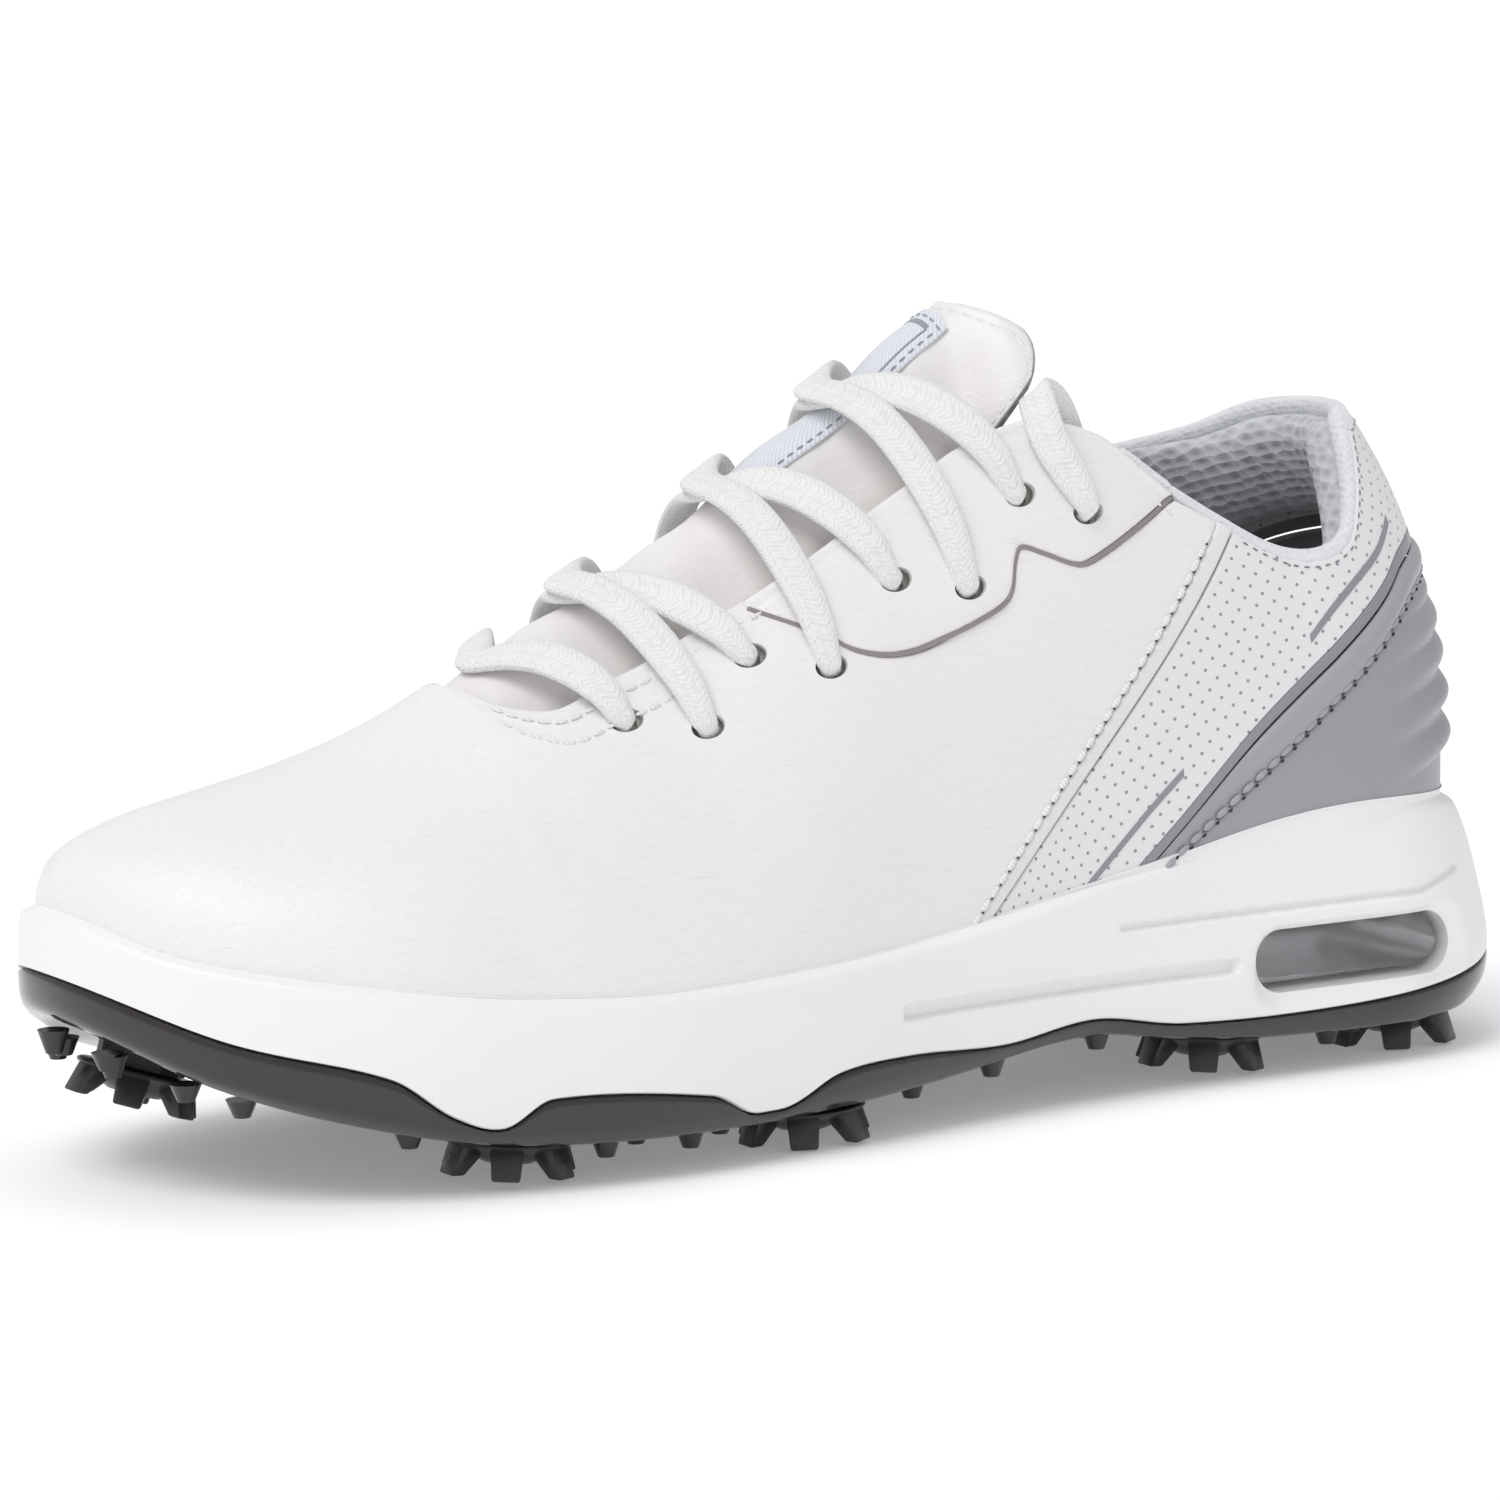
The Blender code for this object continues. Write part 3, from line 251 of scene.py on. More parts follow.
def spun_thread(name, colour, shade_colour):
    made, tree, shader = new_finish(name, colour, 0.7, Sheen_Weight=0.3, Sheen_Roughness=0.5)
    twist = node(tree, "ShaderNodeTexWave", {"Vector": object_pattern(tree, (1, 1, 1), (0.4, 0.6, 0.3)),
                                             "Scale": 420, "Distortion": 1.0})
    # The sunk grooves of the twist take shade_colour: painted shade.
    two_tones(tree, shader, twist.outputs["Fac"], shade_colour, colour)
    add_bump(tree, shader, twist.outputs["Fac"], 0.04)
    return made


def knitted_lace(name):
    """V rows along a flat tube: two slanting waves that meet in the middle of its width."""
    made, tree, shader = new_finish(name, "#F0F0EE", 0.85, Sheen_Weight=0.4, Sheen_Roughness=0.6)
    flat = node(tree, "ShaderNodeUVMap", {}, uv_map="flat_mm")
    parts = node(tree, "ShaderNodeSeparateXYZ", {"Vector": flat.outputs["UV"]})
    across = node(tree, "ShaderNodeMath", {0: parts.outputs["Y"], 1: 0.016}, operation="PINGPONG")
    slant = node(tree, "ShaderNodeMath", {0: across.outputs["Value"], 1: 0.9}, operation="MULTIPLY")
    along = node(tree, "ShaderNodeMath", {0: parts.outputs["X"], 1: slant.outputs["Value"]}, operation="ADD")
    v_rows = node(tree, "ShaderNodeCombineXYZ", {"X": along.outputs["Value"], "Y": across.outputs["Value"]})
    stretched = node(tree, "ShaderNodeMapping", {"Vector": v_rows.outputs["Vector"], "Scale": (105, 80, 1)})
    yarn = node(tree, "ShaderNodeTexVoronoi", {"Vector": stretched.outputs["Vector"], "Scale": 1,
                                               "Randomness": 0.45}, voronoi_dimensions="2D")
    fuzz = node(tree, "ShaderNodeTexNoise", {"Vector": object_pattern(tree), "Scale": 1600, "Detail": 3})
    # The gaps between the yarn loops, which the bump sinks, take the darker tone: painted shade.
    two_tones(tree, shader, yarn.outputs["Distance"], "#F6F6F4", "#DDDDDC")
    first = add_bump(tree, shader, yarn.outputs["Distance"], -0.3)
    add_bump(tree, shader, fuzz.outputs["Fac"], 0.12, 0.7, first)
    return made


def brushed_knit(name, light, dark, dimple_mm, depth, roughness=0.95):
    """Round stitches or dimples in a close lattice, with a brushed, fuzzy face."""
    made, tree, shader = new_finish(name, light, roughness, Sheen_Weight=0.5, Sheen_Roughness=0.6)
    cells = node(tree, "ShaderNodeTexVoronoi", {"Vector": object_pattern(tree, (0.8, 1, 1.25), (0, 0.5, 0)),
                                                "Scale": 1000 / dimple_mm, "Randomness": 0.35})
    fuzz = node(tree, "ShaderNodeTexNoise", {"Vector": object_pattern(tree), "Scale": 1500, "Detail": 3})
    # The middle of each dimple, which the bump sinks, takes the dark tone: painted shade.
    two_tones(tree, shader, cells.outputs["Distance"], dark, light)
    first = add_bump(tree, shader, cells.outputs["Distance"], depth)
    add_bump(tree, shader, fuzz.outputs["Fac"], 0.15, 0.7, first)
    return made


# Each thread's second colour is the painted shade in its twist.
WHITE_THREAD = spun_thread("white_polyester_thread", "#F2F2F2", "#DCDCDE")
GREY_THREAD = spun_thread("grey_polyester_thread", "#8D8B91", "#6F6D73")
LABEL_THREAD = spun_thread("label_polyester_thread", "#9AA0AE", "#868C9A")
LACE_KNIT = knitted_lace("knitted_polyester_lace")
# The second colour of each knit and mesh is the painted shade in its dimples.
COLLAR_KNIT = brushed_knit("brushed_collar_knit", "#EDEEF0", "#D6D8DC", 1.2, 0.25)
COLLAR_MESH = brushed_knit("honeycomb_collar_mesh", "#E2E4E7", "#A4A6AC", 2.4, 0.7)
MESH_LINING = brushed_knit("air_mesh_lining", "#D4D6DA", "#8F9299", 2.4, 0.7)
SOCK_FABRIC = brushed_knit("sockliner_fabric", "#6B6D72", "#54565B", 1.1, 0.2)
print("textile finishes made")

# %% [markdown]
# ## Foam, rubber and plastic
# The midsole is injected foam with a fine even skin: nearly matt, with slight flow marks. The outsole is a
# glossy brown-black compression-moulded rubber, and the cleats are satin polyurethane, scuffed by grass.

# %% Moulded finishes


def moulded(name, light, dark, roughness, grain_mm, depth, **shader_inputs):
    """A moulded surface: two close tones and a fine even grain, whose pitch is in millimetres."""
    made, tree, shader = new_finish(name, light, roughness, **shader_inputs)
    tone = node(tree, "ShaderNodeTexNoise", {"Vector": object_pattern(tree, (0.5, 1, 1)), "Scale": 40, "Detail": 3})
    two_tones(tree, shader, tone.outputs["Fac"], dark, light)
    grain = node(tree, "ShaderNodeTexNoise", {"Vector": object_pattern(tree), "Scale": 1000 / grain_mm, "Detail": 2})
    add_bump(tree, shader, grain.outputs["Fac"], depth)
    return made


MIDSOLE_FOAM = moulded("injected_midsole_foam", "#F6F4F5", "#F0EEF0", 0.5, 0.8, 0.02, Coat_Weight=0.1)
OUTSOLE_RUBBER = moulded("glossy_brown_rubber", "#2A2220", "#1E1918", 0.22, 1.0, 0.02, Coat_Weight=0.5,
                         Coat_Roughness=0.12)
CLEAT_PLASTIC = moulded("scuffed_polyurethane", "#37363A", "#252427", 0.36, 0.9, 0.08, Coat_Weight=0.15)
EDGE_PAINT = moulded("edge_paint", "#9A9190", "#7E7675", 0.35, 0.6, 0.05, Coat_Weight=0.3)
PRINT_FILM = moulded("printed_grey_film", "#98979C", "#8E8D93", 0.4, 0.6, 0.02)
# Dark beads where the thread dips into its needle holes, which are not cut: painted shade.
HOLE_SHADE = moulded("painted_hole_shade", "#3A3838", "#2C2A2A", 0.8, 0.6, 0.05)
NYLON = moulded("black_moulded_nylon", "#202022", "#18181A", 0.45, 0.6, 0.04)
AGLET_FILM = moulded("aglet_acetate", "#E8E8E6", "#DADAD8", 0.15, 2.0, 0.01, Coat_Weight=0.4)
BOARD = moulded("fibre_board", "#B9A47E", "#A08C68", 0.85, 0.5, 0.1)
SOFT_FOAM = moulded("open_cell_foam", "#DEDBC4", "#C9C6AE", 0.95, 0.7, 0.4)
TAPE = moulded("woven_backing_tape", "#E2E0DA", "#D0CEC8", 0.8, 0.5, 0.1)


def cushion_film(name):
    """Clear polyurethane film, slightly smoky."""
    made, _, shader = new_finish(name, "#BFC0C4", 0.12, IOR=1.49)
    shader.inputs["Transmission Weight"].default_value = 0.75
    shader.inputs["Alpha"].default_value = 0.55
    return made


AIR_FILM = cushion_film("clear_cushion_film")
print("moulded finishes made")

# %% [markdown]
# ## The last
# Everything on the upper lies on the foot form, so its shape comes first. A place on it is a station x along
# the shoe, a height theta (0 at the feather edge, 1 on the ridge) and a side. These are the same tables as
# the CAD pieces follow, in millimetres, so a new piece lies exactly where its CAD node does.

# %% The form's tables
TOE, HEEL = -149.0, 144.5
MIDDLE = (TOE + HEEL) / 2
LAST_TOE, LAST_HEEL = -146.0, 136.0
TOE_ROUND, HEEL_ROUND, ROUND_POWER = 62.0, 40.0, 2.15
CENTRE_LINE = [(-149, 8), (-120, 4), (-80, 0), (145, 0)]
SOLE_HALF = {
    LATERAL: [(-149, 45), (-120, 48.5), (-90, 51), (-57, 53.5), (-22, 50), (12, 43.5), (47, 40), (145, 41)],
    MEDIAL: [(-149, 42), (-120, 46.5), (-90, 51.5), (-62, 53.95), (-30, 47), (5, 38), (35, 36), (90, 39),
             (145, 41)],
}
LAST_HALF = {
    LATERAL: [(-149, 42), (-120, 45.5), (-90, 48), (-57, 50), (-22, 46.5), (12, 40), (47, 36.5), (145, 35.5)],
    MEDIAL: [(-149, 39), (-120, 43.5), (-90, 48), (-62, 49.5), (-30, 43.5), (5, 35.5), (35, 33.5), (145, 35.5)],
}
GROUND_SIDE = [(-149, 29), (-133, 20), (-110, 13), (-85, 8.5), (-55, 7), (-25, 7), (5, 8.5), (40, 12.2),
               (60, 9.5), (80, 7.5), (125, 7.2), (145, 9.5)]
LIP = [(-149, 49.5), (-140, 44.5), (-130, 41.7), (-106, 37.8), (-82, 34.8), (-55, 33), (-13, 34.1),
       (13, 36.4), (36, 40), (59, 43.9), (83, 48.3), (102, 49.8), (125, 48.5), (145, 46.5)]
CUP_FLOOR = [(-149, 42), (-140, 38), (-130, 34), (-100, 25), (-60, 20), (-20, 20.5), (20, 25), (60, 30),
             (145, 33)]
RUBBER_EDGE = [(-149, 38), (-131, 28.9), (-107, 22), (-97, 14.8), (-88, 12), (-79, 16.5), (-48, 13.7),
               (-39, 9.4), (-31, 9.4), (-20, 14), (-4, 14.8), (20, 13.5), (40, 15.5), (60, 12.4),
               (95, 12), (128, 15), (145, 18)]
RIDGE = [(-149, 50), (-147, 54), (-142, 59.5), (-130, 64.3), (-114, 68), (-98, 72), (-82, 78),
         (-66, 86.5), (-49, 96.5), (-33, 104), (-7, 120.5), (10, 131), (36, 148), (60, 156), (145, 156)]
SECTION_RISE = [(-149, 2.0), (-110, 1.9), (-75, 1.4), (-45, 1.2), (0, 1.6), (40, 1.9), (93, 1.6)]
SECTION_CROWN = [(-149, 1.9), (-110, 1.8), (-45, 1.7), (0, 1.8), (40, 1.9), (93, 1.5)]
HEEL_LEAN = [(47, 0), (65, 0.5), (80, -0.5), (95, -4), (107, -9), (118, -15.5), (135, -26)]
SIDE_INSET = [(0, 3.5), (0.12, 1.0), (0.3, 0.2), (0.55, 0.0), (0.8, 0.3), (0.93, 0.8), (1, 1.9)]
HEEL_INSET = [(0, 3.0), (0.12, 0.6), (0.3, 0), (0.55, 1.6), (0.8, 4.0), (0.93, 6.0), (1, 8.0)]
GAP = 0.4

# %% Places on the form


def smooth(table, x):
    """Values at x of a smooth curve through (x, value) points, level beyond both ends."""
    xs, ys = np.array(table, float).T
    x = np.clip(x, xs[0], xs[-1])
    before, after = np.r_[0, np.arange(len(xs) - 1)], np.r_[np.arange(1, len(xs)), len(xs) - 1]
    slope = (ys[after] - ys[before]) / (xs[after] - xs[before])
    i = np.clip(np.searchsorted(xs, x) - 1, 0, len(xs) - 2)
    h = xs[i + 1] - xs[i]
    t = (x - xs[i]) / h
    return ((2 * t**3 - 3 * t**2 + 1) * ys[i] + (t**3 - 2 * t**2 + t) * h * slope[i]
            + (3 * t**2 - 2 * t**3) * ys[i + 1] + (t**3 - t**2) * h * slope[i + 1])


def ramp(x, low, high):
    """0 below low, 1 above high, and an eased rise between them."""
    t = np.clip((x - low) / (high - low), 0, 1)
    return t * t * (3 - 2 * t)


def distance_along(points):
    """How far each point of a line is from its start, along the line."""
    return np.r_[0, np.cumsum(np.linalg.norm(np.diff(points, axis=0), axis=1))]


def sample(points, run, at):
    """Points of a line at distances along it."""
    return np.stack([np.interp(at, run, column) for column in points.T], -1)


def on_last(x, theta, side):
    """Places as rows of (station, theta, side)."""
    return np.stack(np.broadcast_arrays(np.asarray(x, float), theta, side), -1)


def end_round(x, toe, heel):
    """Narrows the outline to nothing at the toe and the heel, in a rounded way."""
    past = np.clip(np.maximum((toe + TOE_ROUND - x) / TOE_ROUND, (x - heel + HEEL_ROUND) / HEEL_ROUND), 0, 1)
    return np.maximum(0, 1 - past**ROUND_POWER) ** (1 / ROUND_POWER)


def form(x, theta, side):
    """Points of the last's face, in millimetres, as arrays that end in 3."""
    x, theta, side = np.broadcast_arrays(np.asarray(x, float), theta, side)
    over = theta > 1
    theta, side = np.where(over, 2 - theta, theta), np.where(over, -side, side)
    low, high = smooth(LIP, x), smooth(RIDGE, x)
    half = np.where(side < 0, smooth(LAST_HALF[LATERAL], x), smooth(LAST_HALF[MEDIAL], x))
    half = half * end_round(x, LAST_TOE, LAST_HEEL)
    angle = np.clip(theta, 0, 1) * math.pi / 2
    rise = low + (high - low) * np.sin(angle) ** (2 / smooth(SECTION_RISE, x))
    z = np.where(theta < 0, low + theta * (low - smooth(CUP_FLOOR, x) - GAP), rise)
    y = smooth(CENTRE_LINE, x) + side * half * np.maximum(np.cos(angle), 0) ** (2 / smooth(SECTION_CROWN, x))
    lean = smooth(HEEL_LEAN, z) * np.clip((x - 40) / 100, 0, 1)
    return np.stack([x + lean, y, z], -1)


def facing(x, theta, side):
    """Unit normals of the last's face, pointing out of the shoe."""
    x, theta, side = np.broadcast_arrays(np.asarray(x, float), np.asarray(theta, float), side)
    at_end = (x < LAST_TOE + 0.05) | (x > LAST_HEEL - 0.05)
    x = np.clip(x, LAST_TOE + 0.25, LAST_HEEL - 0.25)
    along = form(x + 0.2, theta, side) - form(x - 0.2, theta, side)
    rise = form(x, theta + 0.02, side) - form(x, theta - 0.02, side)
    normal = np.cross(along, rise) * -np.asarray(side)[..., None]
    normal[..., 1] = np.where(at_end, 0, normal[..., 1])
    return normal / np.linalg.norm(normal, axis=-1, keepdims=True)


def lay(x, theta, side, depth=0.0):
    """Points at a depth under the last's face."""
    return form(x, theta, side) - facing(x, theta, side) * np.asarray(depth)[..., None]


def theta_at(x, z):
    """The theta at which the last's section at station x has height z."""
    low, high = smooth(LIP, x), smooth(RIDGE, x)
    part = np.clip((z - low) / (high - low), 0, 1)
    above = np.arcsin(np.sqrt(part ** smooth(SECTION_RISE, x))) * 2 / math.pi
    return np.where(z < low, (z - low) / (low - smooth(CUP_FLOOR, x) - GAP), above)


def curve_through(points, count):
    """count points, evenly spaced, on a smooth curve through a few points (Catmull-Rom)."""
    p = np.array(points, float)
    p = np.vstack([2 * p[0] - p[1], p, 2 * p[-1] - p[-2]])
    t = np.linspace(0, 1, 24, endpoint=False)[:, None]
    legs = [0.5 * (2 * b + (c - a) * t + (2 * a - 5 * b + 4 * c - d) * t**2 + (3 * b - a - 3 * c + d) * t**3)
            for a, b, c, d in zip(p, p[1:], p[2:], p[3:])]
    dense = np.vstack([*legs, p[-2:-1]])
    return evenly(dense, count)


def evenly(points, count):
    """A line of points again, as count points with equal steps."""
    run = distance_along(points[:, :3])
    return sample(points, run, np.linspace(0, run[-1], count))


print("last is", LAST_HEEL - LAST_TOE, "mm long; ridge over the heel", float(smooth(RIDGE, 90)), "mm")

# %% [markdown]
# ## Cutting a panel
# A shoemaker cuts each piece flat and pulls it over the last. Here a primitive grid is the flat cut: its
# points are moved onto the form, its edges roll inwards as folded leather does, and a Solidify modifier
# gives it its thickness. The grid's columns run from a lower line to an upper one.

# %% Panel helpers


def upper_line(points, side, count):
    """A line on the last given by (station, height) points, as count rows of (x, theta, side)."""
    line = curve_through(points, count)
    return on_last(line[:, 0], theta_at(line[:, 0], line[:, 1]), side)


EDGE_LEAD = (0, 0.12, 0.35, 0.8)


def eased(length, count):
    """count distances along a length, crowded at both ends so that a rolled edge has points to bend on."""
    lead = np.array(EDGE_LEAD) * min(1, length / (4.5 * EDGE_LEAD[-1]))
    middle = np.linspace(lead[-1], length - lead[-1], count - 2 * (len(lead) - 1))
    return np.r_[lead[:-1], middle, length - lead[:-1][::-1]]


def spread(low, high, columns, rows, straight=False):
    """Places over the patch between two lines, and each place's distance from its four edges. A straight
    patch's columns look straight from the side; otherwise they rise evenly in theta."""
    run = distance_along(form(*((low + high) / 2).T))
    across = eased(run[-1], columns)
    low, high = sample(low, run, across), sample(high, run, across)
    t = np.linspace(0, 1, 60)[None, :, None]
    fine = low[:, None] * (1 - t) + high[:, None] * t
    fine[..., 2] = np.where(fine[..., 2] < 0, LATERAL, MEDIAL)
    if straight:
        foot, head = form(*low.T)[:, None, 2], form(*high.T)[:, None, 2]
        fine[..., 1] = theta_at(fine[..., 0], foot + (head - foot) * t[..., 0])
    points = form(fine[..., 0], fine[..., 1], fine[..., 2])
    runs = np.cumsum(np.linalg.norm(np.diff(points, axis=1), axis=2), axis=1)
    places, below, above = np.empty((columns, rows, 3)), np.empty((columns, rows)), np.empty((columns, rows))
    for i in range(columns):
        distances = np.r_[0, runs[i]]
        wanted = eased(distances[-1], rows)
        places[i] = sample(fine[i], distances, wanted)
        below[i], above[i] = wanted, distances[-1] - wanted
    front = np.repeat(across[:, None], rows, 1)
    return places, {"below": below, "above": above, "front": front, "rear": run[-1] - front}


def rolled(distance, radius=0.75):
    """How far an edge turns down at a distance from it."""
    return radius - np.sqrt(radius**2 - np.clip(radius - distance, 0, radius) ** 2)


def from_grid(name, points, uv_mm=None):
    """A mesh object whose grid of points was a primitive grid."""
    columns, rows = points.shape[:2]
    bpy.ops.mesh.primitive_grid_add(x_subdivisions=columns - 1, y_subdivisions=rows - 1, size=2)
    piece = bpy.context.object
    piece.name = piece.data.name = name
    mesh = piece.data
    flat = np.empty(len(mesh.vertices) * 3)
    mesh.vertices.foreach_get("co", flat)
    flat = flat.reshape(-1, 3)
    i = np.rint((flat[:, 0] + 1) / 2 * (columns - 1)).astype(int)
    j = np.rint((flat[:, 1] + 1) / 2 * (rows - 1)).astype(int)
    placed = (points[i, j] - (MIDDLE, 0, 0)) * MM
    mesh.vertices.foreach_set("co", placed.ravel())
    layer = mesh.uv_layers[0]
    layer.name = "flat_mm"
    corner = np.empty(len(mesh.loops), int)
    mesh.loops.foreach_get("vertex_index", corner)
    if uv_mm is None:
        uv_mm = np.stack(np.meshgrid(np.arange(columns), np.arange(rows), indexing="ij"), -1) * 1.0
    layer.data.foreach_set("uv", (uv_mm[i, j][corner] / 100).ravel())
    mesh.update()
    return piece


def choose(piece):
    """Makes a piece the only selected and the active object."""
    bpy.ops.object.select_all(action="DESELECT")
    piece.select_set(True)
    bpy.context.view_layer.objects.active = piece


def edit_all(piece, operator, **settings):
    """Runs a mesh operator on all of a piece in edit mode."""
    choose(piece)
    bpy.ops.object.mode_set(mode="EDIT")
    bpy.ops.mesh.select_all(action="SELECT")
    operator(**settings)
    bpy.ops.object.mode_set(mode="OBJECT")


def apply_modifier(piece, kind, **settings):
    """Adds a modifier with its settings and applies it."""
    choose(piece)
    modifier = piece.modifiers.new(kind.lower(), kind)
    for name, value in settings.items():
        setattr(modifier, name, value)
    bpy.ops.object.modifier_apply(modifier=modifier.name)


def weld(piece, distance_mm=0.004):
    """Merges points that meet, as on a closed seam or at a pole."""
    edit_all(piece, bpy.ops.mesh.remove_doubles, threshold=distance_mm * MM)


def face_outwards(piece):
    """Turns every face of a closed piece outwards."""
    edit_all(piece, bpy.ops.mesh.normals_make_consistent, inside=False)


def point_outwards(piece, points, normals):
    """Turns the faces round if they look into the shoe."""
    columns, rows = points.shape[:2]
    i, j = columns // 2, rows // 2
    turn = np.cross(points[i + 1, j] - points[i - 1, j], points[i, j + 1] - points[i, j - 1])
    if np.dot(turn, normals[i, j]) < 0:
        piece.data.flip_normals()


def thicken(piece, thickness_mm):
    """Gives a sheet its thickness, on its inner side."""
    apply_modifier(piece, "SOLIDIFY", thickness=thickness_mm * MM, offset=-1)
    face_outwards(piece)


def dress(piece, finish, replaced=(), body="shoe", angle=50):
    """Gives a piece its finish, its shading, its body and the nodes that it stands for."""
    piece.data.materials.clear()
    piece.data.materials.append(finish)
    choose(piece)
    bpy.ops.object.shade_smooth_by_angle(angle=math.radians(angle))
    if body:
        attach(piece, body)
    if replaced:
        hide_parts(*replaced)
    piece.select_set(False)
    return piece


WALK_STATIONS = np.linspace(LAST_TOE + 1, LAST_HEEL - 1, 700)
WALK = {side: distance_along(form(WALK_STATIONS, 0.5, side)) for side in (LATERAL, MEDIAL)}


def walked(x, side):
    """Millimetres walked along the side of the shoe to station x, which keeps a punched pattern even."""
    return np.where(side == LATERAL, np.interp(x, WALK_STATIONS, WALK[LATERAL]),
                    np.interp(x, WALK_STATIONS, WALK[MEDIAL]))


def panel(name, low, high, size, finish, slot, replaced=(), depth=0.0, thickness=1.0, rolls=("below", "above"),
          shape=None, roll=0.75, straight=False):
    """A leather panel between two lines. shape(places, edges) adds to its depth, in millimetres."""
    places, edges = spread(low, high, *size, straight)
    nearest = np.min([edges[e] for e in rolls], axis=0) if rolls else np.full(places.shape[:2], 99.0)
    depths = depth + rolled(nearest, roll)
    if shape is not None:
        depths = depths + shape(places, edges)
    x, theta, side = places[..., 0], places[..., 1], np.where(places[..., 2] < 0, LATERAL, MEDIAL)
    points, normals = lay(x, theta, side, depths), facing(x, theta, side)
    piece = from_grid(name, points, np.stack([walked(x, side), points[..., 2]], -1))
    point_outwards(piece, points, normals)
    weld(piece)
    thicken(piece, thickness)
    return dress(piece, finish, replaced)


def side_name(side):
    return "lateral" if side == LATERAL else "medial"


# %% [markdown]
# ## Thread lines and tubes
# A stitch shows as a short plump bead of thread that dips into the leather at both ends. One bead is
# modelled from a sphere and copied along the seam. Painted edges and bindings are round tubes on a line.

# %% Thread helpers


def bead_shape():
    """One stitch of unit length, from a low-poly sphere drawn out and flattened."""
    bpy.ops.mesh.primitive_uv_sphere_add(segments=8, ring_count=6, radius=0.5, rotation=(0, math.pi / 2, 0))
    bead = bpy.context.object
    bpy.ops.object.transform_apply(location=False, rotation=True, scale=False)
    points = np.array([v.co[:] for v in bead.data.vertices])
    faces = [tuple(p.vertices) for p in bead.data.polygons]
    bpy.data.objects.remove(bead)
    return points, faces


BEAD_POINTS, BEAD_FACES = bead_shape()


def beads_along(path, normals, pitch, size, phase=0.0):
    """Points and faces of beads along a path; size is (length, width, height) in millimetres."""
    run = distance_along(path)
    points, faces = [], []
    for at in np.arange(pitch / 2 + phase, run[-1] - pitch / 4, pitch):
        here, ahead, normal = sample(path, run, at), sample(path, run, at + 0.3), sample(normals, run, at)
        along = (ahead - here) / np.linalg.norm(ahead - here)
        across = np.cross(normal, along)
        shape = BEAD_POINTS * size
        faces += [tuple(k + len(points) * len(BEAD_POINTS) for k in face) for face in BEAD_FACES]
        points.append(here + shape[:, :1] * along + shape[:, 1:2] * across + shape[:, 2:] * normal)
    return points, faces


def stitch_line(name, line, finish, slot, pitch=3.1, size=(2.5, 0.75, 0.6), depth=0.05, phase=0.0):
    """Beads of thread along a line of (x, theta, side) on the last."""
    x, theta, side = line.T
    side = np.where(side < 0, LATERAL, MEDIAL)
    points, faces = beads_along(lay(x, theta, side, depth), facing(x, theta, side), pitch, size, phase)
    return thread_piece(name, points, faces, finish, slot)


def thread_piece(name, points, faces, finish, slot, body="shoe"):
    """One mesh from many small copies."""
    mesh = bpy.data.meshes.new(name)
    mesh.from_pydata((np.vstack(points) - (MIDDLE, 0, 0)) * MM, [], faces)
    piece = bpy.data.objects.new(name, mesh)
    scene.collection.objects.link(piece)
    return dress(piece, finish, body=body)


def tube_on(name, line, radius, finish, depth=0.0):
    """A closed round tube along a line on the last."""
    x, theta, side = line.T
    side = np.where(side < 0, LATERAL, MEDIAL)
    return tube(name, lay(x, theta, side, depth), facing(x, theta, side), radius, finish)


def tube(name, path, normals, radius, finish, sides=10, flatten=1.0, replaced=(), rounded=2.0):
    """A tube with an oval section: radius is half its width, and flatten how thick it is for its width."""
    radius = np.broadcast_to(np.asarray(radius, float), len(path))
    along = np.gradient(path, axis=0)
    along /= np.linalg.norm(along, axis=1, keepdims=True)
    across = np.cross(normals, along)
    across /= np.linalg.norm(across, axis=1, keepdims=True)
    lift = np.cross(along, across)
    run = distance_along(path)
    turns = np.linspace(0, 2 * math.pi, sides + 1)
    cos, sin = np.cos(turns), np.sin(turns)
    section = np.stack([np.sign(cos) * np.abs(cos) ** (2 / rounded), np.sign(sin) * np.abs(sin) ** (2 / rounded)])
    taper = np.broadcast_to(np.asarray(flatten, float), len(path))
    ends = np.array([0.02, *np.ones(len(path) - 2), 0.02])
    wide, thick = radius * ends, radius * taper * ends
    points = (path[:, None] + across[:, None] * (wide[:, None, None] * section[0][None, :, None])
              + lift[:, None] * (thick[:, None, None] * section[1][None, :, None]))
    around = turns / (2 * math.pi) * 4 * float(np.max(radius))
    piece = from_grid(name, points, np.stack(np.broadcast_arrays(run[:, None], around[None]), -1))
    weld(piece, 0.002)
    face_outwards(piece)
    return dress(piece, finish, replaced, angle=80)


print("one stitch has", len(BEAD_FACES), "faces")

# %% [markdown]
# ## The vamp
# One hide covers the toe and both sides up to the side seams. It is made as two half grids that meet on the
# ridge and are joined. Its free edge round the throat is folded and stitched twice.

